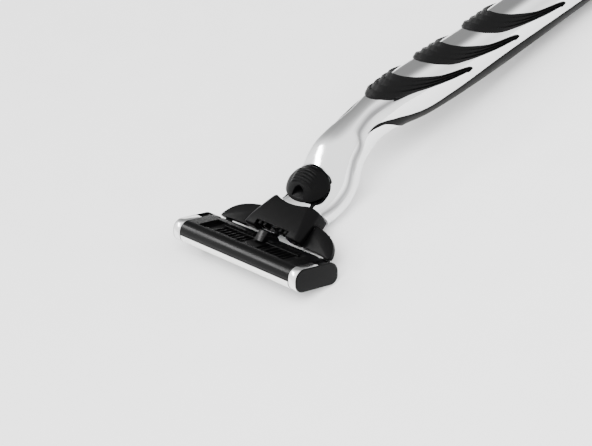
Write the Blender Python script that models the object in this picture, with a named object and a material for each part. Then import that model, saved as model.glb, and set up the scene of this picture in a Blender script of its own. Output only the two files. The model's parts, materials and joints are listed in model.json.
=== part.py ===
"""Cartridge razor: chromed handle with soft grips, ejector button, slide-on connector and a pivoting
three-blade cartridge.

Lengths are millimetres and become metres as a mesh is made. The razor is drawn with the shaving face
of the cartridge on the plane z = 0, the cap at -y and the handle rising towards +y; the empty
"razor" then tips it forward, so that it lies on a table on the underside of its neck and its tail.
"""

import math

import bmesh
import bpy
import numpy as np
from mathutils import Matrix, Vector

MM = 0.001
GAP = 0.06  # between pieces that touch

# How the razor lies on a table
LIE_ANGLE = 24.885
LIE_SHIFT_Y = -66.77
LIE_SHIFT_Z = 1.914

# Cartridge
CARTRIDGE_LENGTH = 41.5
CARTRIDGE_DEPTH = 10.5
CARTRIDGE_HEIGHT = 4.7
TOP_RADIUS = 2.2
FOOT_RADIUS = 1.8
FACE_RELIEF = 0.12
PIVOT = (3.0, 1.1)
WINDOW = (-2.9, 2.55)
WINDOW_HALF = 16.4
STRIP_HALF = 18.0
BLADE_EDGES = (1.95, 0.35, -1.25)
BLADE_ANGLE = 23.0
BLADE_THICK = 0.12
BLADE_WIDTH = 1.15
SUPPORT_HALF = 17.3
BLADE_TOP = 1.85
SUPPORT_THICK = 0.16
STRIP_WIDTH = 2.1
STRIP_HEIGHT = 1.9
CLIP_INNER = 18.3
CLIP_WIDTH = 2.1
CLIP_THICK = 0.28
GUARD = (2.95, 4.75)
GUARD_TOP = 1.1
FIN_COUNT = 5
FIN_PITCH = 0.36
FIN_FOOT = 0.3
FIN_TIP = 0.02
FIN_PROUD = 0.4

# Pivot bearings and connector
TONGUE_RADII = (2.5, 3.1)
TONGUE_ANGLES = (34.0, 106.0)
TONGUE_X = (15.4, 17.0)
YOKE_BORE = 3.78
HOOD_BORE = 3.9
HOOD_EDGE_RADIUS = 16.0
HOOD_EDGE_CENTRE = 27.0
WING_HEIGHTS = (-0.55, 0.5)
PIVOT_BACK = 41.0
PIVOT_FORWARD = 4.0
NOSE_ANGLE = 40.0
NOSE_ARM = 0.7
NOSE_HALF = 4.2
NOSE_ORIGIN = (
    PIVOT[0] - NOSE_ARM * math.sin(math.radians(NOSE_ANGLE)),
    PIVOT[1] + NOSE_ARM * math.cos(math.radians(NOSE_ANGLE)),
)
NOSE_HEIGHTS = (-2.4, 0.95)
NOSE_TIP = 6.7
HEAD_FACE = 12.4
PLUNGER_TIP = 4.0
PLUNGER_RATE = 1.3  # millimetres of plunger for each radian of the cartridge
BUTTON_TRAVEL = 3.2
BUTTON_TILT = 22.0
BUTTON_PLACE = (0.0, 16.0, 0.9)
BUTTON_HALVES = (6.3, 4.9, 2.6)
BUTTON_BASE = 1.45  # height of its flat underside in the nose frame
BUTTON_ARCH = ((9.5, 1.7), (13.2, 2.75))
BUTTON_ARCH_RADIUS = 1.5

# Handle: centre line, half width and half height of the section
STATIONS = (
    (9.9, 6.3, 6.5, 3.25),
    (12.85, 7.85, 6.7, 3.45),
    (15.65, 9.35, 7.0, 3.8),
    (18.0, 11.55, 7.1, 4.6),
    (19.8, 14.2, 6.9, 4.9),
    (21.1, 17.0, 6.6, 4.6),
    (22.9, 19.4, 6.1, 4.2),
    (28.5, 23.6, 5.3, 3.65),
    (35.5, 26.8, 5.6, 4.45),
    (43.6, 29.4, 6.2, 5.2),
    (60.0, 35.1, 6.2, 5.2),
    (84.0, 44.6, 6.2, 5.0),
    (104.0, 52.4, 6.0, 4.7),
    (124.0, 59.9, 5.6, 4.2),
)
SECTION_POINTS = 28
SECTION_POWER = 2.4
GRIP_STARTS = (29.9, 44.3, 59.1)
GRIP_DEPTH = 1.1
GRIP_PROUD = 0.75
STRIP_DEPTH = 1.3


# ---------------------------------------------------------------- scene, materials and placing


def clear_scene():
    for old in list(bpy.data.objects):
        bpy.data.objects.remove(old, do_unlink=True)


def new_collection(name):
    made = bpy.data.collections.new(name)
    bpy.context.scene.collection.children.link(made)
    return made


def material(name, colour, roughness, metallic=0.0):
    made = bpy.data.materials.new(name)
    made.use_nodes = True
    shader = made.node_tree.nodes["Principled BSDF"]
    shader.inputs["Base Color"].default_value = (*colour, 1.0)
    shader.inputs["Roughness"].default_value = roughness
    shader.inputs["Metallic"].default_value = metallic
    return made


def empty(name, parent=None, place=(0.0, 0.0, 0.0), turn_x=0.0):
    made = bpy.data.objects.new(name, None)
    made.location = Vector(place) * MM
    made.rotation_euler = (math.radians(turn_x), 0.0, 0.0)
    made.parent = parent
    parts.objects.link(made)
    return made


def add_object(name, mesh, parent, finish=None, cutter=False):
    """A mesh in millimetres, in its parent's frame, becomes an object in metres."""
    data = bpy.data.meshes.new(name)
    bmesh.ops.transform(mesh, matrix=Matrix.Scale(MM, 4), verts=mesh.verts)
    bmesh.ops.recalc_face_normals(mesh, faces=mesh.faces)
    mesh.to_mesh(data)
    mesh.free()
    made = bpy.data.objects.new(name, data)
    made.parent = parent
    (cutters if cutter else parts).objects.link(made)
    if cutter:
        made.hide_render = True
        made.display_type = "WIRE"
    else:
        data.materials.append(finish)
        data.shade_smooth()
        data.set_sharp_from_angle(angle=math.radians(35))
    return made


def boolean(target, operation, other):
    step = target.modifiers.new(other.name, "BOOLEAN")
    step.operation = operation
    step.object = other
    step.solver = "EXACT"


def cut(target, *others):
    for other in others:
        boolean(target, "DIFFERENCE", other)


def join(target, *others):
    for other in others:
        boolean(target, "UNION", other)


def keep(target, *others):
    for other in others:
        boolean(target, "INTERSECT", other)


# ---------------------------------------------------------------- shapes


def box(x, y, z):
    """A box from three (low, high) pairs."""
    mesh = bmesh.new()
    bmesh.ops.create_cube(mesh, size=1.0)
    size = [high - low for low, high in (x, y, z)]
    middle = [(high + low) / 2 for low, high in (x, y, z)]
    bmesh.ops.scale(mesh, vec=size, verts=mesh.verts)
    bmesh.ops.translate(mesh, vec=middle, verts=mesh.verts)
    return mesh


def rounded_box(x, y, z, radius, segments=3):
    mesh = box(x, y, z)
    bmesh.ops.bevel(
        mesh, geom=mesh.edges[:], offset=radius, segments=segments, profile=0.5, affect="EDGES"
    )
    return mesh


def prism(outline, x_low, x_high):
    """An outline of (y, z) points, drawn out along x."""
    mesh = bmesh.new()
    face = mesh.faces.new([mesh.verts.new((x_low, y, z)) for y, z in outline])
    drawn = bmesh.ops.extrude_face_region(mesh, geom=[face])["geom"]
    moved = [item for item in drawn if isinstance(item, bmesh.types.BMVert)]
    bmesh.ops.translate(mesh, vec=(x_high - x_low, 0, 0), verts=moved)
    return mesh


def slab(outline, low, high):
    """An outline of (x, y) points, drawn up along z."""
    mesh = bmesh.new()
    face = mesh.faces.new([mesh.verts.new((x, y, low)) for x, y in outline])
    drawn = bmesh.ops.extrude_face_region(mesh, geom=[face])["geom"]
    moved = [item for item in drawn if isinstance(item, bmesh.types.BMVert)]
    bmesh.ops.translate(mesh, vec=(0, 0, high - low), verts=moved)
    return mesh


def rod(start, end, radius, sides=20, tip_radius=None):
    """A round rod, or a cone, between two points of the y-z plane at x = 0."""
    span = Vector((0, end[0] - start[0], end[1] - start[1]))
    mesh = bmesh.new()
    bmesh.ops.create_cone(
        mesh,
        cap_ends=True,
        segments=sides,
        radius1=radius,
        radius2=radius if tip_radius is None else tip_radius,
        depth=span.length,
    )
    turn = Vector((0, 0, 1)).rotation_difference(span).to_matrix().to_4x4()
    middle = Vector((0, (start[0] + end[0]) / 2, (start[1] + end[1]) / 2))
    bmesh.ops.transform(mesh, matrix=Matrix.Translation(middle) @ turn, verts=mesh.verts)
    return mesh


def arc(centre, radius, first, last, steps):
    """Points of an arc in the y-z plane, by angle from +y towards +z."""
    turns = np.radians(np.linspace(first, last, steps))
    return [(centre[0] + radius * math.cos(a), centre[1] + radius * math.sin(a)) for a in turns]


def sector(centre, radii, angles, steps=12):
    inner = arc(centre, radii[0], angles[0], angles[1], steps)
    outer = arc(centre, radii[1], angles[1], angles[0], steps)
    return inner + outer


def smooth_path(points, steps):
    """A Catmull-Rom curve through rows of numbers, with an even count of steps to each span."""
    rows = np.array(points, float)
    ends = np.vstack([2 * rows[0] - rows[1], rows, 2 * rows[-1] - rows[-2]])
    path = []
    for i in range(len(rows) - 1):
        a, b, c, d = ends[i : i + 4]
        for t in np.linspace(0, 1, steps, endpoint=False):
            path.append(
                0.5 * (2 * b + (c - a) * t + (2 * a - 5 * b + 4 * c - d) * t**2
                       + (3 * b - a - 3 * c + d) * t**3)
            )
    path.append(rows[-1])
    return np.array(path)


def grown(outline, distance):
    """The outline with each edge moved outwards by a distance, whichever way round it runs."""
    points = np.array(outline, float)
    ahead = np.roll(points, -1, axis=0)
    area = np.sum(points[:, 0] * ahead[:, 1] - ahead[:, 0] * points[:, 1])
    edges = (ahead - points) / np.linalg.norm(ahead - points, axis=1)[:, None]
    after = np.stack([edges[:, 1], -edges[:, 0]], axis=1) * (1 if area > 0 else -1)
    before = np.roll(after, 1, axis=0)
    corner = (before + after) / np.maximum(1 + np.sum(before * after, axis=1), 0.3)[:, None]
    return [tuple(point) for point in points + corner * distance]


def coil(name, parent, finish, start, end, radius, wire, turns, per_turn=10):
    """A helical spring about a line parallel to the parent's y axis, as a closed mesh."""
    count = turns * per_turn
    curve = bpy.data.curves.new(name, "CURVE")
    curve.dimensions = "3D"
    curve.bevel_depth = wire / 2 * MM
    curve.bevel_resolution = 1
    curve.use_fill_caps = True
    line = curve.splines.new("POLY")
    line.points.add(count)
    for i, point in enumerate(line.points):
        turn = 2 * math.pi * i / per_turn
        along = start[1] + (end - start[1]) * i / count
        place = (radius * math.cos(turn), along, start[2] + radius * math.sin(turn))
        point.co = (*(Vector(place) * MM), 1.0)
    made = bpy.data.objects.new(name, curve)
    made.parent = parent
    parts.objects.link(made)
    curve.materials.append(finish)
    return made


# ---------------------------------------------------------------- handle


def handle_stations():
    """Rows of (arc length, y, z, half width, half height) along the centre line."""
    rows = smooth_path(STATIONS, 4)
    steps = np.hypot(*np.diff(rows[:, :2], axis=0).T)
    return np.column_stack([np.concatenate([[0.0], np.cumsum(steps)]), rows])


def at_arc(rows, arc_length):
    """Centre, unit tangent and half sizes at an arc length, carried straight on past the ends."""
    inside = min(max(arc_length, rows[0, 0]), rows[-1, 0])
    values = [np.interp(inside, rows[:, 0], rows[:, i]) for i in range(1, 5)]
    near = 0.8
    ahead = min(inside + near, rows[-1, 0])
    behind = max(inside - near, rows[0, 0])
    tangent = np.array([np.interp(ahead, rows[:, 0], rows[:, i])
                        - np.interp(behind, rows[:, 0], rows[:, i]) for i in (1, 2)])
    tangent /= np.linalg.norm(tangent)
    centre = np.array(values[:2]) + tangent * (arc_length - inside)
    return centre, tangent, values[2], values[3]


def side_point(rows, arc_length, height_share):
    """A point of the side view: a share of the half height above the centre line."""
    centre, tangent, _, half_height = at_arc(rows, arc_length)
    return tuple(centre + np.array([-tangent[1], tangent[0]]) * half_height * height_share)


def section_points(half_width, half_height, grow_top, grow_side):
    """A rounded section of (x, height) points, anticlockwise from +x."""
    points = []
    for i in range(SECTION_POINTS):
        turn = 2 * math.pi * i / SECTION_POINTS
        across = math.copysign(abs(math.cos(turn)) ** (2 / SECTION_POWER), math.cos(turn))
        up = math.copysign(abs(math.sin(turn)) ** (2 / SECTION_POWER), math.sin(turn))
        lift = grow_top if up > 0 else grow_side
        points.append((across * (half_width + grow_side), up * (half_height + lift)))
    return points


def handle_loft(rows, grow=0.0, stops=None, top=None):
    """The handle's skin moved outwards by a distance; top gives more of it over the top."""
    tail = rows[-1, 0]
    round_end = 4.0
    stops = list(stops if stops is not None else rows[:, 0])
    if stops[-1] >= tail:
        stops = [s for s in stops if s < tail - round_end]
        stops += [tail - round_end * (1 - math.sin(a)) for a in np.radians((0, 25, 45, 62, 76, 86))]
    mesh = bmesh.new()
    rings = []
    for stop in stops:
        past = max(0.0, stop - (tail - round_end)) / round_end
        shrink = math.sqrt(max(0.0, 1 - past**2))
        reach = stop + (grow if past > 0 else 0.0)
        centre, tangent, half_width, half_height = at_arc(rows, reach)
        up = np.array([-tangent[1], tangent[0]])
        lift = grow if top is None else top(stop)
        ring = []
        for x, height in section_points(half_width, half_height, lift, grow):
            y, z = centre + up * height * shrink
            ring.append(mesh.verts.new((x * (0.35 + 0.65 * shrink), y, z)))
        rings.append(ring)
    for ring, following in zip(rings, rings[1:]):
        for i in range(SECTION_POINTS):
            j = (i + 1) % SECTION_POINTS
            mesh.faces.new((ring[i], ring[j], following[j], following[i]))
    mesh.faces.new(rings[0][::-1])
    mesh.faces.new(rings[-1])
    return mesh


def grip_outline(rows, start):
    """The crescent of one grip in the side view, its tail swept back down the side."""
    front = ((-0.8, 1.7), (0.0, 1.0), (1.6, 0.84), (4.5, 0.62), (9.5, 0.40), (16.0, 0.19), (21.2, 0.04))
    rear = ((22.5, 0.14), (21.8, 0.28), (15.0, 0.54), (10.0, 0.82), (7.6, 1.0), (7.0, 1.7))
    shares = smooth_path(front + rear, 3)
    return [side_point(rows, start + along, share) for along, share in shares]


def back_strip_outline(rows):
    tail = rows[-1, 0]
    upper = ((23.7, 0.42), (26.5, 0.38), (31.1, -0.03), (37.2, -0.34), (47.3, -0.30), (63.3, -0.15),
             (87.3, -0.25), (tail - 9.0, -0.3))
    lower = ((tail - 6.0, -0.75), (tail - 5.5, -1.7), (73.3, -1.7), (34.3, -1.7), (31.5, -0.7), (28.3, -0.02),
             (25.7, 0.24))
    shares = smooth_path(upper + lower, 3)
    return [side_point(rows, along, share) for along, share in shares]


def nose_to_side(t, h):
    """A point of the nose frame (t along the nose, h above it) in the side view."""
    turn = math.radians(NOSE_ANGLE)
    y = NOSE_ORIGIN[0] + t * math.cos(turn) - h * math.sin(turn)
    z = NOSE_ORIGIN[1] + t * math.sin(turn) + h * math.cos(turn)
    return y, z


def make_handle(rows):
    body = add_object("handle_body", handle_loft(rows), razor, chrome)
    core = add_object("grip_core", handle_loft(rows, -GRIP_DEPTH), razor, cutter=True)
    strip_core = add_object("strip_core", handle_loft(rows, -STRIP_DEPTH), razor, cutter=True)
    grip_core = add_object("grip_floor", handle_loft(rows, GAP - GRIP_DEPTH), razor, cutter=True)
    strip_floor = add_object("strip_floor", handle_loft(rows, 3 * GAP - STRIP_DEPTH), razor, cutter=True)
    strip_skin = add_object("strip_skin", handle_loft(rows, 0.1), razor, cutter=True)

    for name, start in zip(("front", "middle", "rear"), GRIP_STARTS):
        outline = grip_outline(rows, start)
        pocket = add_object(f"pocket_{name}", prism(grown(outline, GAP), -9, 9), razor, cutter=True)
        cut(pocket, core)
        cut(body, pocket)

        def ridge(stop, start=start):
            """Saw-tooth height over the four ridges of the grip."""
            share = (stop - start + 0.47) / 2.0 % 1.0
            return GRIP_PROUD * (1 - 0.75 * share)

        stops = [start - 2.0]
        for tooth in range(-1, 5):
            valley = start - 0.47 + 2.0 * tooth
            stops += [valley - 0.12, valley]
        stops += list(np.arange(stops[-1] + 2, start + 26, 2.0))
        skin = add_object(f"grip_skin_{name}", handle_loft(rows, GRIP_PROUD * 0.5, stops, ridge), razor,
                          cutter=True)
        pad = add_object(f"grip_pad_{name}", prism(outline, -8.5, 8.5), razor, rubber)
        keep(pad, skin)
        cut(pad, grip_core)

    outline = back_strip_outline(rows)
    recess = add_object("strip_recess", prism(grown(outline, GAP), -9, 9), razor, cutter=True)
    cut(recess, strip_core)
    cut(body, recess)
    strip = add_object("back_strip", prism(outline, -8.5, 8.5), razor, rubber)
    keep(strip, strip_skin)
    cut(strip, strip_floor)
    return body


# ---------------------------------------------------------------- head of the handle


def button_cap(grow=0.0):
    """The domed oval of the button, in the nose frame, tipped to lie along the neck."""
    mesh = bmesh.new()
    bmesh.ops.create_uvsphere(mesh, u_segments=28, v_segments=14, radius=1.0)
    bmesh.ops.scale(mesh, vec=[half + grow for half in BUTTON_HALVES], verts=mesh.verts)
    turn = Matrix.Rotation(math.radians(BUTTON_TILT), 4, "X")
    bmesh.ops.transform(mesh, matrix=Matrix.Translation(Vector(BUTTON_PLACE)) @ turn, verts=mesh.verts)
    return mesh


def make_head(body):
    low, high = NOSE_HEIGHTS
    cavity = add_object("head_cavity", box((-4.85, 4.85), (HEAD_FACE - 4, 19.8), (low - 0.4, high + 0.1)),
                        nose, cutter=True)
    arm_room = add_object("arm_room", box((-5.9, 5.9), (HEAD_FACE - 4, 19.8), (low - 0.35, -0.4)), nose,
                          cutter=True)
    stem_slot = add_object("stem_slot", box((-2.2, 2.2), (14.4, 19.6), (0, 3.6)), nose, cutter=True)
    well = bmesh.new()
    for shift in (0.4, -BUTTON_TRAVEL - 0.2):
        copy = button_cap(0.15)
        for vert in copy.verts:
            well.verts.new(vert.co + Vector((0, shift, 0)))
        copy.free()
    hull = bmesh.ops.convex_hull(well, input=well.verts[:])
    inside = [item for item in hull["geom_interior"] if isinstance(item, bmesh.types.BMVert)]
    bmesh.ops.delete(well, geom=inside, context="VERTS")
    well = add_object("button_well", well, nose, cutter=True)
    cut(well, add_object("well_floor", box((-9, 9), (5, 25), (-9, BUTTON_BASE - GAP)), nose, cutter=True))
    head_cut = add_object("head_cut", box((-12, 12), (-10, HEAD_FACE), (-12, 12)), nose, cutter=True)
    lip = add_object("head_lip", box((-5.2, 5.2), (5, HEAD_FACE + 1), (high, 6)), nose, cutter=True)
    keep(lip, add_object("head_lip_edge", hood_edge(HOOD_EDGE_RADIUS - 0.2), nose, cutter=True))
    cut(head_cut, lip)
    cut(body, head_cut, cavity, arm_room, stem_slot, well)

    # The nose block fills the cavity and carries the connector
    block = rounded_box((-4.7, 4.7), (HEAD_FACE - 0.4, 14.0), (low - 0.2, high - 0.07), 0.2)
    block = add_object("nose_block", block, nose, black)
    beak = add_object("nose_beak", rounded_box((-NOSE_HALF, NOSE_HALF), (NOSE_TIP, 13.5), (low, high), 0.3),
                      nose, cutter=True)
    join(block, beak)
    bore = add_object("plunger_bore", rod((7.9, 0), (13.2, 0), 0.85), nose, cutter=True)
    mouth = add_object("plunger_mouth", rod((5.0, 0), (8.5, 0), 0.72), nose, cutter=True)
    floor_hole = add_object("spring_vent", rod((13.0, 0), (15.0, 0), 0.4), nose, cutter=True)
    cut(block, bore, mouth, floor_hole)

    # Button with its stem and two pusher arms
    button = add_object("release_button", button_cap(), nose, black)
    cut(button, add_object("button_under", box((-9, 9), (5, 25), (-9, BUTTON_BASE)), nose, cutter=True))
    arch = add_object("button_arch", rod(*BUTTON_ARCH, BUTTON_ARCH_RADIUS), nose, cutter=True)
    cut(button, arch)
    stem = add_object("button_stem", box((-2.0, 2.0), (17.8, 19.4), (-1.4, 2.2)), nose, cutter=True)
    join(button, stem)
    yoke_bar = add_object("pusher_bar", box((-5.7, 5.7), (17.8, 19.0), (-2.2, -0.6)), nose, cutter=True)
    join(button, yoke_bar)
    for side in (-1, 1):
        x = sorted((side * 4.9, side * 5.7))
        arm = box(x, (HEAD_FACE - 0.3, 18.4), (-2.0, -0.65))
        arm = add_object(f"pusher_arm_{side}", arm, nose, cutter=True)
        join(button, arm)
    for i in range(5):
        groove = add_object(f"button_groove_{i}", rod((0, 0), (1, 0), 0.3, 8), nose, cutter=True)
        groove.data.transform(Matrix.Scale(14, 4, Vector((0, 1, 0))))
        groove.data.transform(Matrix.Rotation(math.radians(90), 4, "Z"))
        groove.data.transform(Matrix.Translation(Vector((7.0, 15.6 + 0.9 * i, 3.75 + 0.1 * i)) * MM))
        cut(button, groove)
    coil("button_spring", nose, steel, (0, 14.2, -0.9), 17.6, 0.8, 0.25, 4)


def make_plunger():
    shaft = rod((PLUNGER_TIP + 0.5, 0), (9.0, 0), 0.64)
    made = add_object("plunger", shaft, plunger_axis, black)
    tip = bmesh.new()
    bmesh.ops.create_uvsphere(tip, u_segments=20, v_segments=12, radius=0.64)
    bmesh.ops.scale(tip, vec=(1.0, 0.8, 1.0), verts=tip.verts)
    bmesh.ops.translate(tip, vec=(0, PLUNGER_TIP + 0.56, 0), verts=tip.verts)
    tip = add_object("plunger_tip", tip, plunger_axis, cutter=True)
    collar = add_object("plunger_collar", rod((8.15, 0), (9.0, 0), 0.79), plunger_axis, cutter=True)
    join(made, tip, collar)
    coil("plunger_spring", nose, steel, (0, 9.2, 0), 13.05, 0.66, 0.22, 6)


# ---------------------------------------------------------------- connector


WING_PLAN = (
    (9.12, 3.9), (14.6, 3.8), (17.4, 3.5), (18.0, 3.9), (17.7, 5.0), (16.6, 6.5), (14.9, 7.7), (12.6, 8.6),
    (10.4, 9.1), (8.4, 9.4), (8.75, 7.6), (9.05, 5.6),
)


def hood_edge(radius):
    """The upright cylinder that gives the hood its hollow rear edge."""
    mesh = bmesh.new()
    bmesh.ops.create_cone(mesh, cap_ends=True, segments=64, radius1=radius, radius2=radius, depth=12)
    bmesh.ops.translate(mesh, vec=(0, HOOD_EDGE_CENTRE, 0), verts=mesh.verts)
    return mesh


def hood_mesh():
    """The hood as a loft of five sections along the nose, each a flat-topped hexagon."""
    sections = (  # t, half width low, half width at the shoulder, half width on top, low, shoulder, top
        (3.8, 8.8, 9.0, 8.3, -0.3, 1.6, 2.15),
        (5.6, 8.7, 8.9, 8.0, -1.2, 1.4, 2.3),
        (7.6, 8.4, 8.5, 7.2, -2.3, 1.2, 2.35),
        (9.8, 8.0, 8.1, 6.3, -2.5, 1.1, 2.3),
        (12.0, 7.5, 7.6, 5.5, -2.6, 0.9, 2.15),
    )
    mesh = bmesh.new()
    rings = []
    for t, low_half, mid_half, top_half, low, mid, high in sections:
        corners = ((low_half, low), (mid_half, mid), (top_half, high))
        ring = [mesh.verts.new((x, t, h)) for x, h in corners]
        ring += [mesh.verts.new((-x, t, h)) for x, h in corners[::-1]]
        rings.append(ring)
    for ring, following in zip(rings, rings[1:]):
        for i in range(6):
            j = (i + 1) % 6
            mesh.faces.new((ring[i], ring[j], following[j], following[i]))
    mesh.faces.new(rings[0][::-1])
    mesh.faces.new(rings[-1])
    long_edges = [edge for edge in mesh.edges if edge.calc_face_angle(0) > 0.35]
    bmesh.ops.bevel(mesh, geom=long_edges, offset=0.35, segments=2, profile=0.5, affect="EDGES")
    return mesh


def make_connector():
    low, high = NOSE_HEIGHTS
    hood = add_object("connector_hood", hood_mesh(), connector, black)
    half = NOSE_HALF + GAP * 2
    socket = add_object("socket", box((-half, half), (NOSE_TIP - 0.3, 14), (low - 0.12, high + 0.12)),
                        connector, cutter=True)
    window = add_object("plunger_window", box((-1.6, 1.6), (3, 8), (-1.5, 1.2)), connector, cutter=True)
    notch = add_object("hood_notch", box((-5.3, 5.3), (2, 5.25), (-4, 4)), connector, cutter=True)
    edge = add_object("hood_rear_edge", hood_edge(HOOD_EDGE_RADIUS), connector, cutter=True)
    foot = prism(arc(PIVOT, HOOD_BORE, 0, 350, 36), -20, 20)
    foot = add_object("hood_foot", foot, side_frame, cutter=True)
    cut(hood, socket, window, notch, edge, foot)

    # The yoke: a bar under the hood, a wing on each side and a curved tongue at the end of each wing
    bar = ((5.9, -3.05), (9.3, -3.35), (9.6, -2.8), (7.6, -2.52), (6.2, -2.48))
    bar = [nose_to_side(t, h) for t, h in bar]
    yoke = add_object("connector_yoke", prism(bar, -10.2, 10.2), side_frame, satin)
    for side in (-1, 1):
        plan = [(side * x, t) for x, t in WING_PLAN]
        wing = add_object(f"yoke_wing_{side}", slab(plan, *WING_HEIGHTS), connector, cutter=True)
        x = sorted((side * 9.1, side * 10.3))
        riser = add_object(f"yoke_riser_{side}", box(x, (6.1, 8.7), (-3.0, 0.3)), connector, cutter=True)
        join(yoke, wing, riser)
    bore = prism(arc(PIVOT, YOKE_BORE, 0, 350, 36), -20, 20)
    bore = add_object("yoke_bore", bore, side_frame, cutter=True)
    cut(yoke, bore)
    for side in (-1, 1):
        x = sorted((side * TONGUE_X[0], side * TONGUE_X[1]))
        tongue = sector(PIVOT, TONGUE_RADII, TONGUE_ANGLES)
        tongue = add_object(f"yoke_tongue_{side}", prism(tongue, *x), side_frame, cutter=True)
        web_x = sorted((side * (TONGUE_X[0] + 0.05), side * (TONGUE_X[1] - 0.05)))
        web_radii = (TONGUE_RADII[0] + 0.02, YOKE_BORE + 0.9)
        web = sector(PIVOT, web_radii, (TONGUE_ANGLES[0], TONGUE_ANGLES[0] + 10), 6)
        web = add_object(f"yoke_web_{side}", prism(web, *web_x), side_frame, cutter=True)
        join(yoke, tongue, web)


# ---------------------------------------------------------------- cartridge


def housing_outline(grow=0.0):
    """The rounded side view of the cartridge."""
    half = CARTRIDGE_DEPTH / 2 + grow
    top, foot = TOP_RADIUS + grow, FOOT_RADIUS + grow
    high = CARTRIDGE_HEIGHT + grow
    corners = (
        ((half - foot, foot - grow), foot, -90, 0),
        ((half - top, high - top), top, 0, 90),
        ((top - half, high - top), top, 90, 180),
        ((foot - half, foot - grow), foot, 180, 270),
    )
    points = []
    for centre, radius, first, last in corners:
        points += arc(centre, radius, first, last, 7)
    return points


def from_pivot(mesh):
    """Moves a mesh drawn in the side view into the cartridge's own frame, on the pivot axis."""
    bmesh.ops.translate(mesh, vec=(0, -PIVOT[0], -PIVOT[1]), verts=mesh.verts)
    return mesh


def cam_outline():
    """Spiral face that moves the plunger evenly as the cartridge turns."""
    face = []
    for turn in np.radians(np.linspace(-PIVOT_FORWARD - 4, PIVOT_BACK + 4, 12)):
        reach = PLUNGER_TIP + PLUNGER_RATE * turn
        angle = math.radians(NOSE_ANGLE) + math.atan2(NOSE_ARM, reach) + turn
        radius = math.hypot(reach, NOSE_ARM) - 0.12
        face.append((PIVOT[0] + radius * math.cos(angle), PIVOT[1] + radius * math.sin(angle)))
    return face + [(1.2, 4.2), (3.0, 3.4), (4.2, 2.6)]


def make_housing():
    half = CARTRIDGE_LENGTH / 2
    housing = from_pivot(prism(housing_outline(), -half, half))
    housing = add_object("cartridge_housing", housing, cartridge, satin)

    def cutter(name, mesh):
        return add_object(name, from_pivot(mesh), cartridge, cutter=True)

    window = cutter("blade_window", box((-WINDOW_HALF, WINDOW_HALF), WINDOW, (-1, BLADE_TOP + 0.3)))
    seats = cutter("blade_seats", box((-SUPPORT_HALF - 0.12, SUPPORT_HALF + 0.12),
                                      (WINDOW[0] + 0.2, WINDOW[1] - 0.1), (0.16, BLADE_TOP + 0.3)))
    relief_half = CLIP_INNER - 0.3
    relief = cutter("face_relief", box((-relief_half, relief_half), (-3.4, 6), (-1, FACE_RELIEF)))
    cut(housing, window, seats, relief)
    for i, (x_low, x_high) in enumerate(((-11.6, -5.2), (-4.2, -2.2), (2.2, 4.2), (5.2, 11.6))):
        cut(housing, cutter(f"rinse_slot_{i}", box((x_low, x_high), (-2.3, 1.8), (1.5, 6))))
    back = cutter("back_recess", box((-14.9, 14.9), (-2.9, 2.2), (3.9, 6)))
    cut(housing, back)
    strip_seat = box((-STRIP_HALF - GAP, STRIP_HALF + GAP),
                     (-9, -CARTRIDGE_DEPTH / 2 + STRIP_WIDTH + GAP), (-1, STRIP_HEIGHT + GAP))
    guard_seat = box((-WINDOW_HALF - GAP, WINDOW_HALF + GAP), (GUARD[0] - GAP, GUARD[1] + GAP),
                     (-1, GUARD_TOP + GAP))
    cut(housing, cutter("strip_seat", strip_seat), cutter("guard_seat", guard_seat))

    cam = cutter("cam", prism(cam_outline(), -1.3, 1.3))
    join(housing, cam)
    for side in (-1, 1):
        x = sorted((side * (TONGUE_X[0] - 0.1), side * (TONGUE_X[1] + 0.1)))
        slot_radii = (TONGUE_RADII[0] - 0.1, TONGUE_RADII[1] + 0.1)
        slot = sector(PIVOT, slot_radii, (23, TONGUE_ANGLES[1] + PIVOT_BACK + 2), 20)
        opening = sector(PIVOT, (slot_radii[0], 8.0), (23, TONGUE_ANGLES[0] + 10 + PIVOT_BACK + 3), 16)
        cut(housing, cutter(f"bearing_slot_{side}", prism(slot, *x)),
            cutter(f"bearing_mouth_{side}", prism(opening, *x)))
        x = sorted((side * (CLIP_INNER - GAP), side * (CLIP_INNER + CLIP_WIDTH + GAP)))
        band = cutter(f"clip_seat_{side}", prism(housing_outline(2.0), *x))
        core = prism(housing_outline(-CLIP_THICK - GAP), x[0] - 1, x[1] + 1)
        cut(band, cutter(f"clip_core_{side}", core))
        cut(housing, band)


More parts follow.
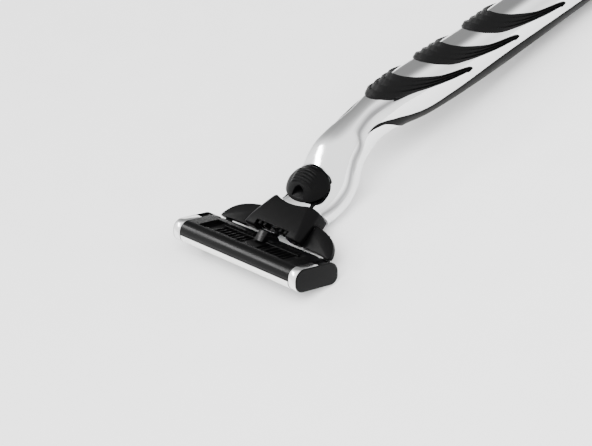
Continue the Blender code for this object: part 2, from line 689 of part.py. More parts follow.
def make_cartridge_fittings():
    def add(name, mesh, finish):
        return add_object(name, from_pivot(mesh), cartridge, finish)

    strip = add("lubricating_strip", prism(housing_outline(), -STRIP_HALF, STRIP_HALF), pale)
    strip_room = box((-STRIP_HALF - 1, STRIP_HALF + 1), (-9, -CARTRIDGE_DEPTH / 2 + STRIP_WIDTH),
                     (-1, STRIP_HEIGHT))
    keep(strip, add_object("strip_room", from_pivot(strip_room), cartridge, cutter=True))

    fins = [(GUARD[0], GUARD_TOP), (GUARD[0], FIN_FOOT)]
    for i in range(FIN_COUNT):
        start = GUARD[0] + FIN_PITCH * i
        past = max(0.0, start + FIN_PITCH - (CARTRIDGE_DEPTH / 2 - FOOT_RADIUS))
        rise = FOOT_RADIUS - math.sqrt(FOOT_RADIUS**2 - past**2)
        tip, foot = max(FIN_TIP, rise - FIN_PROUD), max(FIN_FOOT, rise)
        fins += [(start + 0.1, tip), (start + 0.22, tip), (start + FIN_PITCH - 0.02, foot)]
    fins += [(GUARD[1], GUARD_TOP)]
    add("guard_fins", prism(fins, -WINDOW_HALF, WINDOW_HALF), rubber)

    for name, side in (("left", -1), ("right", 1)):
        x = sorted((side * CLIP_INNER, side * (CLIP_INNER + CLIP_WIDTH)))
        clip = add(f"clip_{name}", prism(housing_outline(), *x), chrome)
        inner = prism(housing_outline(-CLIP_THICK), x[0] - 1, x[1] + 1)
        gap = box((x[0] - 1, x[1] + 1), (0.5, 4.0), (3, 6))
        cut(clip, add_object(f"clip_bore_{name}", from_pivot(inner), cartridge, cutter=True),
            add_object(f"clip_gap_{name}", from_pivot(gap), cartridge, cutter=True))


def make_blades():
    lean = math.radians(BLADE_ANGLE)
    back = np.array([-math.cos(lean), math.sin(lean)])
    up = np.array([math.sin(lean), math.cos(lean)])
    for i, edge in enumerate(BLADE_EDGES, 1):
        frame = empty(f"blade_float_{i}", cartridge, (0, edge - PIVOT[0], 0.04 - PIVOT[1]))
        plate = [(0, 0), back * 0.3 + up * BLADE_THICK, back * BLADE_WIDTH + up * BLADE_THICK, back * BLADE_WIDTH]
        add_object(f"blade_{i}", prism([tuple(p) for p in plate], 0.1 - WINDOW_HALF, WINDOW_HALF - 0.1), frame, steel)
        under = BLADE_THICK + GAP
        over = under + SUPPORT_THICK
        front = 0.1 - BLADE_WIDTH * math.cos(lean)
        rear = front - SUPPORT_THICK
        top = BLADE_TOP - 0.04
        bent = [tuple(back * 0.45 + up * under), tuple(back * 0.45 + up * over),
                (front, over / math.cos(lean) - front * math.tan(lean)), (front, top),
                (rear, top), (rear, under / math.cos(lean) - rear * math.tan(lean))]
        add_object(f"blade_support_{i}", prism(bent, -SUPPORT_HALF, SUPPORT_HALF), frame, steel)


clear_scene()
parts = new_collection("cartridge_razor")
cutters = new_collection("cutters")

chrome = material("chrome", (0.82, 0.83, 0.85), 0.08, 1.0)
rubber = material("black_rubber", (0.02, 0.02, 0.022), 0.55)
black = material("black_plastic", (0.015, 0.015, 0.017), 0.45)
satin = material("satin_black_plastic", (0.02, 0.02, 0.023), 0.25)
steel = material("blade_steel", (0.6, 0.61, 0.62), 0.2, 1.0)
pale = material("lubricating_polymer", (0.85, 0.86, 0.84), 0.5)

razor = empty("razor", None, (0, LIE_SHIFT_Y, LIE_SHIFT_Z), -LIE_ANGLE)
side_frame = empty("side_frame", razor)
nose = empty("nose_frame", razor, (0, *NOSE_ORIGIN), NOSE_ANGLE)
connector = empty("connector_frame", razor, (0, *NOSE_ORIGIN), NOSE_ANGLE)
plunger_axis = empty("plunger_axis", nose)
cartridge = empty("cartridge_pivot", razor, (0, *PIVOT))

handle_body = make_handle(handle_stations())
make_head(handle_body)
make_plunger()
make_connector()
make_housing()
make_cartridge_fittings()
make_blades()
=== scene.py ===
"""Looks of the cartridge razor: polished handle, soft grips, ribbed button, connector and cartridge.

Shapes are drawn in millimetres, either in the razor's own frame (shaving face on z = 0, handle rising
towards +y) or in the frame of its nose, and are then placed on the frame that the model gives.
"""

import json
import math

import bmesh
import bpy
import numpy as np
from bpy.props import FloatProperty, FloatVectorProperty, IntProperty, PointerProperty
from mathutils import Matrix, Vector


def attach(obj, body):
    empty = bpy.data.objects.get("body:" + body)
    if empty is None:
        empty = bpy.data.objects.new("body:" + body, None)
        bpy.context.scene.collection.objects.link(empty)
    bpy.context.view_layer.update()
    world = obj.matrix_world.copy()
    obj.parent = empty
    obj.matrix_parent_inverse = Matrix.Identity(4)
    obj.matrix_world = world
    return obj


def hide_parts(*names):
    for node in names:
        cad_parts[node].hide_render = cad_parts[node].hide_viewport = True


bl_info = {
    "name": "Cartridge Razor",
    "version": (1, 0, 0),
    "blender": (4, 5, 0),
    "location": "View3D > Sidebar > Razor",
    "description": "Builds a cartridge razor with a chromed handle and a pivoting head",
    "category": "Add Mesh",
}

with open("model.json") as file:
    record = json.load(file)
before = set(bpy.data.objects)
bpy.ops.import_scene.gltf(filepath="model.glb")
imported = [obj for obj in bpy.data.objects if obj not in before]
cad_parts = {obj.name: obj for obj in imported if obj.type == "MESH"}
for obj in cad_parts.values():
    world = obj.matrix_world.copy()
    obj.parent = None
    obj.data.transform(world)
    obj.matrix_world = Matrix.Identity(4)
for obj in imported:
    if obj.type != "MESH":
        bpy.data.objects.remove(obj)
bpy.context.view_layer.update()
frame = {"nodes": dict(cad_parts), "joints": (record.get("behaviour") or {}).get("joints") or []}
MM = 0.001  # metres in a millimetre, which is the unit of every shape below

# ---------------------------------------------------------------- places, from the frame

JOINTS = {joint["name"]: joint for joint in frame["joints"]}
PIVOT_PLACE = Vector(JOINTS["cartridge_pivot"]["pos_m"])
SKIN_NORMAL = Vector(JOINTS["blade_1_float"]["axis"])
NOSE_AXIS = Vector(JOINTS["plunger_slide"]["axis"])
PIVOT = (3.0, 1.1)  # y and z in the razor's frame
NOSE_ARM = 0.7  # how far the nose's axis passes from the pivot
LIE = math.atan2(SKIN_NORMAL.y, SKIN_NORMAL.z)
NOSE_LIFT = math.atan2(NOSE_AXIS.z, NOSE_AXIS.y)
RAZOR = (
    Matrix.Translation(PIVOT_PLACE)
    @ Matrix.Rotation(-LIE, 4, "X")
    @ Matrix.Scale(MM, 4)
    @ Matrix.Translation((0, -PIVOT[0], -PIVOT[1]))
)
NOSE = (
    Matrix.Translation(PIVOT_PLACE)
    @ Matrix.Rotation(NOSE_LIFT, 4, "X")
    @ Matrix.Scale(MM, 4)
    @ Matrix.Translation((0, 0, NOSE_ARM))
)
NOSE_TO_RAZOR = RAZOR.inverted() @ NOSE

# Handle: centre line in the side view, half width and half height of its section
STATIONS = (
    (9.9, 6.3, 6.5, 3.25),
    (12.85, 7.85, 6.7, 3.45),
    (15.65, 9.35, 7.0, 3.8),
    (18.0, 11.55, 7.1, 4.6),
    (19.8, 14.2, 6.9, 4.9),
    (21.1, 17.0, 6.6, 4.6),
    (22.9, 19.4, 6.1, 4.2),
    (28.5, 23.6, 5.3, 3.65),
    (35.5, 26.8, 5.6, 4.45),
    (43.6, 29.4, 6.2, 5.2),
    (60.0, 35.1, 6.2, 5.2),
    (84.0, 44.6, 6.2, 5.0),
    (104.0, 52.4, 6.0, 4.7),
    (124.0, 59.9, 5.6, 4.2),
)
SECTION_POWER = 2.4
TAIL_ROUND = 4.0
TAIL_TURNS = (8, 16, 25, 35, 45, 54, 62, 70, 76, 82, 87)
TAIL_NARROWING = 0.65
GRIP_STARTS = (("front", 29.9), ("middle", 44.3), ("rear", 59.1))
# The crease between the top face and the side: distance along the handle, turn up from the side in degrees
CREASE = (
    (2.0, 17.0), (5.7, 12.0), (7.8, 7.0), (10.1, 3.0), (12.1, 1.0), (14.4, 2.5), (17.0, 5.5), (19.7, 9.5),
    (21.2, 20.0), (22.5, 41.0), (24.3, 49.0), (27.7, 54.0), (32.0, 44.0), (38.0, 37.0), (46.0, 35.0),
    (60.0, 35.0), (90.0, 36.0), (120.0, 40.0),
)
CREASE_FADE_START = 34.0
CREASE_FADE_LENGTH = 8.0
CREASE_FADE = 0.75
CREASE_LOWEST = 0.6  # in radians below the side

# Head, in the nose frame
HEAD_FACE = 12.4
HOOD_EDGE_RADIUS = 16.0
HOOD_EDGE_CENTRE = 27.0
NOSE_HEIGHTS = (-2.4, 0.95)
NOSE_HALF = 4.2
NOSE_TIP = 6.7
ROOM_DEPTH = 4.0
ROOM_BACK = 19.8
BLOCK_ROOM = (-4.85, 4.85)
ARM_ROOM = (-5.9, 5.9)
STEM_SLOT = ((-2.2, 2.2), (14.4, 19.6), (0, 3.6))
STEM = ((-2.0, 2.0), (17.8, 19.4), (-1.4, 2.2))
ARM_BAR = ((-5.7, 5.7), (17.8, 19.0), (-2.2, -0.6))
ARM_SIDES = (4.9, 5.7)
ARM_BACK = 18.4
ARM_HEIGHTS = (-2.0, -0.65)
BUTTON_TRAVEL = 3.2
BUTTON_TILT = 22.0
BUTTON_PLACE = (0.0, 16.0, 0.9)
BUTTON_HALVES = (6.3, 4.9, 2.6)
BUTTON_BASE = 1.45
BUTTON_ARCH = (13.3, 1.8, 1.8)  # place along the nose, radius, height of its floor

# Cartridge, in the razor's frame
CARTRIDGE_LENGTH = 41.5
CARTRIDGE_DEPTH = 10.5
CARTRIDGE_HEIGHT = 4.7
TOP_RADIUS = 2.2
FOOT_RADIUS = 1.8
FACE_RELIEF = 0.12
WINDOW = (-2.9, 2.55)
WINDOW_HALF = 16.4
WINDOW_TOP = 2.15
GUARD = (2.95, 4.75)
GUARD_TOP = 1.1
SUPPORT_HALF = 17.3
STRIP_HALF = 18.0
STRIP_WIDTH = 2.1
STRIP_HEIGHT = 1.9
CLIP_INNER = 18.3
CLIP_WIDTH = 2.1
CLIP_THICK = 0.28
GAP = 0.06
TONGUE_RADII = (2.5, 3.1)
TONGUE_ANGLES = (34.0, 106.0)
TONGUE_X = (15.4, 17.0)
TONGUE_WEB = 10.0
TRACK_START = 23.0
YOKE_BORE = 3.78
HOOD_BORE = 3.9
PIVOT_BACK = 41.0
PIVOT_FORWARD = 4.0
NOSE_ANGLE = 40.0
PLUNGER_TIP = 4.0
PLUNGER_RATE = 1.3
WING_PLAN = (
    (9.12, 3.9), (14.6, 3.8), (17.4, 3.5), (18.0, 3.9), (17.7, 5.0), (16.6, 6.5), (14.9, 7.7), (12.6, 8.6),
    (10.4, 9.1), (8.4, 9.4), (8.75, 7.6), (9.05, 5.6),
)


# ---------------------------------------------------------------- settings, with lengths in metres


class HandleSettings(bpy.types.PropertyGroup):
    rings: IntProperty(name="Rings", description="Steps along the handle", default=300, min=60)
    sides: IntProperty(name="Sides", description="Points round the handle", default=144, min=32)
    crease_depth: FloatProperty(
        name="Crease depth", description="Depth of the crease",
        default=0.0004, unit="LENGTH", precision=5,
    )
    crease_width: FloatProperty(
        name="Crease width", description="Half width of the crease",
        default=0.00085, unit="LENGTH", precision=5,
    )
    chrome_colour: FloatVectorProperty(
        name="Chrome colour", description="Colour of the polished plate", subtype="COLOR",
        default=(0.88, 0.885, 0.89),
    )


class GripSettings(bpy.types.PropertyGroup):
    proud: FloatProperty(
        name="Tooth height", description="Height of a tooth over the chrome",
        default=0.001, unit="LENGTH", precision=5,
    )
    teeth: IntProperty(name="Teeth", description="Teeth across one grip", default=4, min=1)
    rubber_colour: FloatVectorProperty(
        name="Rubber colour", description="Colour of the soft grips", subtype="COLOR",
        default=(0.0015, 0.0015, 0.0016),
    )


class HeadSettings(bpy.types.PropertyGroup):
    ridges: IntProperty(
        name="Button ridges", description="Ridges on the back of the button", default=5, min=1,
    )
    ridge_height: FloatProperty(
        name="Ridge height", description="Height of those ridges",
        default=0.0002, unit="LENGTH", precision=5,
    )
    plastic_colour: FloatVectorProperty(
        name="Plastic colour", description="Colour of the button and the hood", subtype="COLOR",
        default=(0.0015, 0.0015, 0.0016),
    )


class CartridgeSettings(bpy.types.PropertyGroup):
    fins: IntProperty(name="Guard fins", description="Rubber fins along the guard", default=5, min=1)
    fin_pitch: FloatProperty(
        name="Fin pitch", description="Distance between fins",
        default=0.00036, unit="LENGTH", precision=5,
    )
    ribs: IntProperty(name="Back ribs", description="Ribs along each rinsing bay", default=7, min=2)
    strip_colour: FloatVectorProperty(
        name="Strip colour", description="Colour of the lubricating strip", subtype="COLOR",
        default=(0.86, 0.87, 0.85),
    )


class StageSettings(bpy.types.PropertyGroup):
    floor_colour: FloatVectorProperty(
        name="Floor colour", description="Colour of the floor", subtype="COLOR",
        default=(0.9, 0.9, 0.9),
    )
    key_power: FloatProperty(
        name="Key light", description="Power of the main soft light", default=5.0, unit="POWER",
    )
    sky_strength: FloatProperty(
        name="Sky", description="Brightness of the white surroundings", default=2.1, subtype="FACTOR",
        min=0.0, max=10.0,
    )


# ---------------------------------------------------------------- shapes, in millimetres


def clamped(value, low=0.0, high=1.0):
    return min(max(value, low), high)


def side_band(side, low, high):
    """The range of x from low to high, on the side given by a sign."""
    return sorted((side * low, side * high))


def box(x, y, z):
    mesh = bmesh.new()
    bmesh.ops.create_cube(mesh, size=1.0)
    bmesh.ops.scale(mesh, vec=[high - low for low, high in (x, y, z)], verts=mesh.verts)
    middle = [(high + low) / 2 for low, high in (x, y, z)]
    bmesh.ops.translate(mesh, vec=middle, verts=mesh.verts)
    return mesh


def rounded(mesh, radius, segments=3, least_angle=20):
    """Rounds the edges of a mesh that turn by more than an angle."""
    limit = math.radians(least_angle)
    edges = [edge for edge in mesh.edges if edge.calc_face_angle(0) > limit]
    bmesh.ops.bevel(
        mesh, geom=edges, offset=radius, segments=segments, profile=0.5, affect="EDGES", clamp_overlap=True
    )
    return mesh


def drawn(points, step):
    """A flat outline of 3-D points, drawn out by one step."""
    mesh = bmesh.new()
    face = mesh.faces.new([mesh.verts.new(point) for point in points])
    moved = bmesh.ops.extrude_face_region(mesh, geom=[face])["geom"]
    moved = [item for item in moved if isinstance(item, bmesh.types.BMVert)]
    bmesh.ops.translate(mesh, vec=step, verts=moved)
    bmesh.ops.recalc_face_normals(mesh, faces=mesh.faces)
    return mesh


def prism(outline, x_low, x_high):
    return drawn([(x_low, y, z) for y, z in outline], (x_high - x_low, 0, 0))


def slab(outline, low, high):
    return drawn([(x, y, low) for x, y in outline], (0, 0, high - low))


def arc(centre, radius, first, last, steps):
    turns = np.radians(np.linspace(first, last, steps))
    return [(centre[0] + radius * math.cos(a), centre[1] + radius * math.sin(a)) for a in turns]


def sector(centre, radii, angles, steps=24):
    return arc(centre, radii[0], *angles, steps) + arc(centre, radii[1], *angles[::-1], steps)


def smooth_path(points, steps):
    """A Catmull-Rom curve through rows of numbers."""
    rows = np.array(points, float)
    ends = np.vstack([2 * rows[0] - rows[1], rows, 2 * rows[-1] - rows[-2]])
    path = []
    for i in range(len(rows) - 1):
        a, b, c, d = ends[i : i + 4]
        for t in np.linspace(0, 1, steps, endpoint=False):
            path.append(
                0.5 * (2 * b + (c - a) * t + (2 * a - 5 * b + 4 * c - d) * t**2
                       + (3 * b - a - 3 * c + d) * t**3)
            )
    path.append(rows[-1])
    return np.array(path)


def grid_shell(outer, inner):
    """A closed sheet from two equal grids of points, joined round their rims."""
    rows, columns = len(outer), len(outer[0])
    mesh = bmesh.new()
    top = [[mesh.verts.new(point) for point in row] for row in outer]
    under = [[mesh.verts.new(point) for point in row] for row in inner]
    for i in range(rows - 1):
        for j in range(columns - 1):
            mesh.faces.new((top[i][j], top[i][j + 1], top[i + 1][j + 1], top[i + 1][j]))
            mesh.faces.new((under[i][j], under[i + 1][j], under[i + 1][j + 1], under[i][j + 1]))
    rim = [(i, 0) for i in range(rows)] + [(rows - 1, j) for j in range(1, columns)]
    rim += [(i, columns - 1) for i in range(rows - 2, -1, -1)] + [(0, j) for j in range(columns - 2, 0, -1)]
    for (i, j), (k, m) in zip(rim, rim[1:] + rim[:1]):
        mesh.faces.new((top[i][j], top[k][m], under[k][m], under[i][j]))
    bmesh.ops.remove_doubles(mesh, verts=mesh.verts, dist=1e-4)
    bmesh.ops.recalc_face_normals(mesh, faces=mesh.faces)
    return mesh


def loose_object(mesh, name="solid"):
    """A temporary object for Booleans, in millimetres."""
    bmesh.ops.recalc_face_normals(mesh, faces=mesh.faces)
    data = bpy.data.meshes.new(name)
    mesh.to_mesh(data)
    mesh.free()
    made = bpy.data.objects.new(name, data)
    bpy.context.scene.collection.objects.link(made)
    return made


def evaluated_mesh(made):
    graph = bpy.context.evaluated_depsgraph_get()
    return bpy.data.meshes.new_from_object(made.evaluated_get(graph))


def drop(*objects):
    for made in objects:
        bpy.data.objects.remove(made, do_unlink=True)


def combined(base, steps):
    """Cuts and joins meshes in order. Each step is (operation, mesh)."""
    base = loose_object(base, "base")
    others = []
    for operation, mesh in steps:
        other = mesh if isinstance(mesh, bpy.types.Object) else loose_object(mesh, "tool")
        others.append(other)
        modifier = base.modifiers.new("step", "BOOLEAN")
        modifier.operation = operation
        modifier.solver = "EXACT"
        modifier.object = other
    data = evaluated_mesh(base)
    drop(base, *others)
    mesh = bmesh.new()
    mesh.from_mesh(data)
    bpy.data.meshes.remove(data)
    return mesh


def cut(base, *meshes):
    return combined(base, [("DIFFERENCE", mesh) for mesh in meshes])


def join(base, *meshes):
    return combined(base, [("UNION", mesh) for mesh in meshes])


def moved(mesh, matrix):
    bmesh.ops.transform(mesh, matrix=matrix, verts=mesh.verts)
    return mesh


def piece(name, mesh, place, body, finish, stands_for=(), crisp=35):
    """Places a mesh in the frame and rides it on a body."""
    moved(mesh, place)
    data = bpy.data.meshes.new(name)
    mesh.to_mesh(data)
    mesh.free()
    data.shade_smooth()
    data.set_sharp_from_angle(angle=math.radians(crisp))
    data.materials.clear()
    data.materials.append(finish)
    made = bpy.data.objects.new(name, data)
    bpy.context.scene.collection.objects.link(made)
    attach(made, body)
    if stands_for:
        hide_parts(*stands_for)
    return made


# ---------------------------------------------------------------- materials


def new_material(name):
    made = bpy.data.materials.new(name)
    made.use_nodes = True
    return made, made.node_tree, made.node_tree.nodes["Principled BSDF"]


def noise(tree, scale, detail, stretch):
    place = tree.nodes.new("ShaderNodeTexCoord")
    mapping = tree.nodes.new("ShaderNodeMapping")
    mapping.inputs["Scale"].default_value = stretch
    made = tree.nodes.new("ShaderNodeTexNoise")
    made.inputs["Scale"].default_value = scale
    made.inputs["Detail"].default_value = detail
    tree.links.new(place.outputs["Object"], mapping.inputs["Vector"])
    tree.links.new(mapping.outputs["Vector"], made.inputs["Vector"])
    return made.outputs["Fac"]


def spread(tree, source, low, high):
    """Maps the middle of a noise to a range."""
    made = tree.nodes.new("ShaderNodeMapRange")
    made.inputs["From Min"].default_value = 0.3
    made.inputs["From Max"].default_value = 0.7
    made.inputs["To Min"].default_value = low
    made.inputs["To Max"].default_value = high
    tree.links.new(source, made.inputs["Value"])
    return made.outputs["Result"]


def tinted(tree, source, colour, low, high):
    """A colour that a noise makes darker and lighter."""
    made = tree.nodes.new("ShaderNodeMix")
    made.data_type = "RGBA"
    made.inputs["A"].default_value = (*[channel * low for channel in colour], 1.0)
    made.inputs["B"].default_value = (*[channel * high for channel in colour], 1.0)
    tree.links.new(source, made.inputs["Factor"])
    return made.outputs["Result"]


def bumped(tree, shader, source, distance, strength):
    made = tree.nodes.new("ShaderNodeBump")
    made.inputs["Distance"].default_value = distance
    made.inputs["Strength"].default_value = strength
    tree.links.new(source, made.inputs["Height"])
    tree.links.new(made.outputs["Normal"], shader.inputs["Normal"])


BROAD_GRAIN = 90.0
GRAIN_DETAIL = 3.0


def surface(
    name, colour, rough, grain, depth, metallic=0.0, shade=(0.8, 1.2), stretch=(1, 1, 1), shine=0.5
):
    """A finish with uneven colour and roughness and a fine grain. Grain is in cycles per metre."""
    made, tree, shader = new_material(name)
    broad = noise(tree, BROAD_GRAIN, GRAIN_DETAIL, stretch)
    fine = noise(tree, grain, GRAIN_DETAIL, stretch)
    tree.links.new(tinted(tree, spread(tree, broad, 0, 1), colour, *shade), shader.inputs["Base Color"])
    tree.links.new(spread(tree, broad, *rough), shader.inputs["Roughness"])
    bumped(tree, shader, fine, depth, 0.6)
    shader.inputs["Metallic"].default_value = metallic
    shader.inputs["Specular IOR Level"].default_value = shine
    return made


# Painted shade: the grey that the chrome's colour is mixed towards in the crease
PAINTED_CREASE_SHADE = (0.24, 0.24, 0.245, 1.0)


def paint_crease_shade(made):
    """Darkens a finish's colour where the mesh carries its groove attribute: painted shade, as shade gathers
    in a crease.
    """
    tree = made.node_tree
    shader = tree.nodes["Principled BSDF"]
    source = shader.inputs["Base Color"].links[0].from_socket
    depth = tree.nodes.new("ShaderNodeAttribute")
    depth.attribute_name = "groove"
    shade = tree.nodes.new("ShaderNodeMix")
    shade.data_type = "RGBA"
    shade.inputs["B"].default_value = PAINTED_CREASE_SHADE
    tree.links.new(depth.outputs["Fac"], shade.inputs["Factor"])
    tree.links.new(source, shade.inputs["A"])
    tree.links.new(shade.outputs["Result"], shader.inputs["Base Color"])


def finishes():
    """The materials, made once from the settings."""
    made = bpy.data.materials
    if "Polished chrome" in made:
        return made
    scene = bpy.context.scene
    chrome = tuple(scene.razor_handle.chrome_colour)
    plastic = tuple(scene.razor_head.plastic_colour)
    rubber = tuple(scene.razor_grips.rubber_colour)
    strip = tuple(scene.razor_cartridge.strip_colour)
    # The chrome gets painted shade along its crease
    paint_crease_shade(surface("Polished chrome", chrome, (0.08, 0.14), 900, 0.000004, 1.0, (0.97, 1.0)))
    surface("Grip rubber", rubber, (0.36, 0.52), 9000, 0.00004, shine=0.1)
    surface("Hood plastic", plastic, (0.28, 0.4), 7000, 0.00003, shine=0.05)
    surface("Button plastic", plastic, (0.3, 0.42), 6000, 0.00004, shine=0.05)
    surface("Yoke plastic", plastic, (0.26, 0.36), 5000, 0.00002, shine=0.05)
    surface("Cartridge plastic", plastic, (0.16, 0.26), 4000, 0.000012, shine=0.1)
    surface("Clip metal", (0.9, 0.9, 0.9), (0.14, 0.22), 5000, 0.000006, 1.0, (0.97, 1.0), (1, 0.2, 0.2))
    surface("Blade steel", (0.62, 0.63, 0.64), (0.2, 0.32), 9000, 0.000008, 1.0, (0.9, 1.0), (0.05, 1, 1))
    surface("Spring steel", (0.5, 0.5, 0.51), (0.25, 0.35), 4000, 0.00001, 1.0, (0.9, 1.0))
    surface("Fin rubber", rubber, (0.45, 0.6), 8000, 0.00003, shine=0.15)
    surface("Lubricating strip", strip, (0.35, 0.5), 3000, 0.00003, 0.0, (0.95, 1.0), (0.1, 1, 1))
    return made


# ---------------------------------------------------------------- handle surface


def handle_rows():
    """Rows of the handle's centre line and half sizes, each led by its distance along that line."""
    rows = smooth_path(STATIONS, 16)
    steps = np.hypot(*np.diff(rows[:, :2], axis=0).T)
    return np.column_stack([np.concatenate([[0.0], np.cumsum(steps)]), rows])


ROWS = handle_rows()
TAIL = ROWS[-1, 0]
CREASE_PATH = smooth_path(CREASE, 6)
TANGENT_REACH = 0.8


def along_rows(column, along):
    return np.interp(along, ROWS[:, 0], ROWS[:, column])


def at_arc(along):
    """Centre, unit tangent and half sizes at a distance along the handle."""
    inside = clamped(along, 0.0, TAIL)
    values = [along_rows(column, inside) for column in range(1, 5)]
    ahead, behind = min(inside + TANGENT_REACH, TAIL), max(inside - TANGENT_REACH, 0.0)
    tangent = np.array([along_rows(column, ahead) - along_rows(column, behind) for column in (1, 2)])
    tangent /= np.linalg.norm(tangent)
    return np.array(values[:2]) + tangent * (along - inside), tangent, values[2], values[3]


def section_point(half_width, half_height, turn):
    """A point of the rounded section and its outward direction, by turn from +x."""
    share = 2 / SECTION_POWER
    across = math.copysign(abs(math.cos(turn)) ** share, math.cos(turn))
    up = math.copysign(abs(math.sin(turn)) ** share, math.sin(turn))
    slope = SECTION_POWER - 1
    outward = np.array([math.copysign(abs(across) ** slope, across) / half_width,
                        math.copysign(abs(up) ** slope, up) / half_height])
    return np.array([across * half_width, up * half_height]), outward / np.linalg.norm(outward)


def skin_point(along, turn, lift=0.0):
    """A point of the handle's skin, lifted off it by a distance."""
    centre, tangent, half_width, half_height = at_arc(along)
    point, outward = section_point(half_width, half_height, turn)
    x, height = point + outward * lift
    y, z = centre + np.array([-tangent[1], tangent[0]]) * height
    return x, y, z


def crease_lift(along, turn, settings):
    """Depth of the crease at a point of the skin. It runs down both sides."""
    if turn < -CREASE_LOWEST or turn > math.pi + CREASE_LOWEST:
        return 0.0
    side_turn = turn if turn < math.pi / 2 else math.pi - turn
    crease_turn = math.radians(np.interp(along, CREASE_PATH[:, 0], CREASE_PATH[:, 1]))
    _, _, half_width, half_height = at_arc(along)
    here, _ = section_point(half_width, half_height, side_turn)
    there, _ = section_point(half_width, half_height, crease_turn)
    away = np.linalg.norm(here - there)
    fade = 1.0 - CREASE_FADE * clamped((along - CREASE_FADE_START) / CREASE_FADE_LENGTH)
    return -settings.crease_depth / MM * fade * math.exp(-((away / (settings.crease_width / MM)) ** 2))


def handle_shell(settings):
    """The bare handle as a closed loft with its crease pressed in."""
    mesh = bmesh.new()
    straight = TAIL - TAIL_ROUND
    stops = list(np.linspace(0, straight, settings.rings))
    stops += [TAIL - TAIL_ROUND * (1 - math.sin(turn)) for turn in np.radians(TAIL_TURNS)]
    turns = [2 * math.pi * (i + 0.5) / settings.sides for i in range(settings.sides)]
    # The groove attribute, the crease's depth as a share, is also the mask for the painted shade in the
    # chrome's colour
    groove = mesh.verts.layers.float.new("groove")
    rings = []
    for stop in stops:
        past = max(0.0, stop - straight) / TAIL_ROUND
        shrink = math.sqrt(max(0.0, 1 - past**2))
        centre, tangent, half_width, half_height = at_arc(stop)
        up = np.array([-tangent[1], tangent[0]])
        ring = []
        for turn in turns:
            point, outward = section_point(half_width, half_height, turn)
            signed = turn if turn < 1.5 * math.pi else turn - 2 * math.pi
            lift = crease_lift(stop, signed, settings)
            x, height = point + outward * lift
            y, z = centre + up * height * shrink
            vert = mesh.verts.new((x * ((1 - TAIL_NARROWING) + TAIL_NARROWING * shrink), y, z))
            vert[groove] = -lift / (settings.crease_depth / MM)
            ring.append(vert)
        rings.append(ring)
    for ring, following in zip(rings, rings[1:]):
        for i in range(settings.sides):
            j = (i + 1) % settings.sides
            mesh.faces.new((ring[i], ring[j], following[j], following[i]))
    mesh.faces.new(rings[0][::-1])
    mesh.faces.new(rings[-1])
    return mesh


def hood_edge(radius):
    """A disc whose rim gives the hood's curved rear edge, in the nose frame."""
    mesh = bmesh.new()
    bmesh.ops.create_cone(mesh, cap_ends=True, segments=128, radius1=radius, radius2=radius, depth=12)
    bmesh.ops.translate(mesh, vec=(0, HOOD_EDGE_CENTRE, 0), verts=mesh.verts)
    return mesh


def button_dome(grow=0.0, columns=96, rows=64):
    """The oval dome of the button, in the nose frame."""
    mesh = bmesh.new()
    bmesh.ops.create_uvsphere(mesh, u_segments=columns, v_segments=rows, radius=1.0)
    bmesh.ops.scale(mesh, vec=[half + grow for half in BUTTON_HALVES], verts=mesh.verts)
    return mesh


def dome_place():
    """The place of the button's dome in the nose frame."""
    return Matrix.Translation(BUTTON_PLACE) @ Matrix.Rotation(math.radians(BUTTON_TILT), 4, "X")


def button_well():
    """The room that the button's dome sweeps through as it slides."""
    well = bmesh.new()
    for shift in (0.4, -BUTTON_TRAVEL - 0.2):
        copy = moved(button_dome(0.15, 48, 24), dome_place())
        for vert in copy.verts:
            well.verts.new(vert.co + Vector((0, shift, 0)))
        copy.free()
    hull = bmesh.ops.convex_hull(well, input=well.verts[:])
    inside = [item for item in hull["geom_interior"] if isinstance(item, bmesh.types.BMVert)]
    bmesh.ops.delete(well, geom=inside, context="VERTS")
    return cut(well, box((-9, 9), (5, 25), (-9, BUTTON_BASE - GAP)))


class RAZOR_OT_handle(bpy.types.Operator):
    """Adds the polished handle with its crease, nose face and button well"""

    bl_idname = "razor.handle"
    bl_label = "Handle"

    def execute(self, context):
        low, high = NOSE_HEIGHTS
        shell = handle_shell(context.scene.razor_handle)
        lip = combined(box((-5.2, 5.2), (5, HEAD_FACE + 1), (high, 6)),
                       [("INTERSECT", hood_edge(HOOD_EDGE_RADIUS - 0.2))])
        face = cut(box((-12, 12), (-10, HEAD_FACE), (-12, 12)), lip)
        block_room = box(BLOCK_ROOM, (HEAD_FACE - ROOM_DEPTH, ROOM_BACK), (low - 0.4, high + 0.1))
        arm_room = box(ARM_ROOM, (HEAD_FACE - ROOM_DEPTH, ROOM_BACK), (low - 0.35, -0.4))
        tools = (face, block_room, arm_room, box(*STEM_SLOT), button_well())
        shell = cut(shell, *[moved(mesh, NOSE_TO_RAZOR) for mesh in tools])
        piece("handle_shell", shell, RAZOR, "handle", finishes()["Polished chrome"],
              ["handle_body"], 30)
        return {"FINISHED"}


# ---------------------------------------------------------------- grips and back strip


# Edges of a grip, from its tail to the top: distance past its start, turn up from the side in degrees
GRIP_FRONT = (
    (21.4, 0.5), (21.2, 2.5), (16.0, 7.8), (9.5, 19.5), (4.5, 34.3), (1.6, 54.2), (0.35, 74.0), (0.0, 90.0),
)
GRIP_REAR = (
    (22.5, 2.0), (22.9, 6.0), (21.8, 12.5), (15.0, 28.5), (10.2, 52.0), (8.3, 68.0), (7.6, 80.0),
    (7.4, 90.0),
)
GRIP_HALF_COLUMNS = 40
GRIP_BED = 0.35  # how far a grip's rim lies below the chrome
GRIP_FLOOR = 0.7  # how far its under side does
TOOTH_SLOPE = 0.82  # share of a tooth that rises


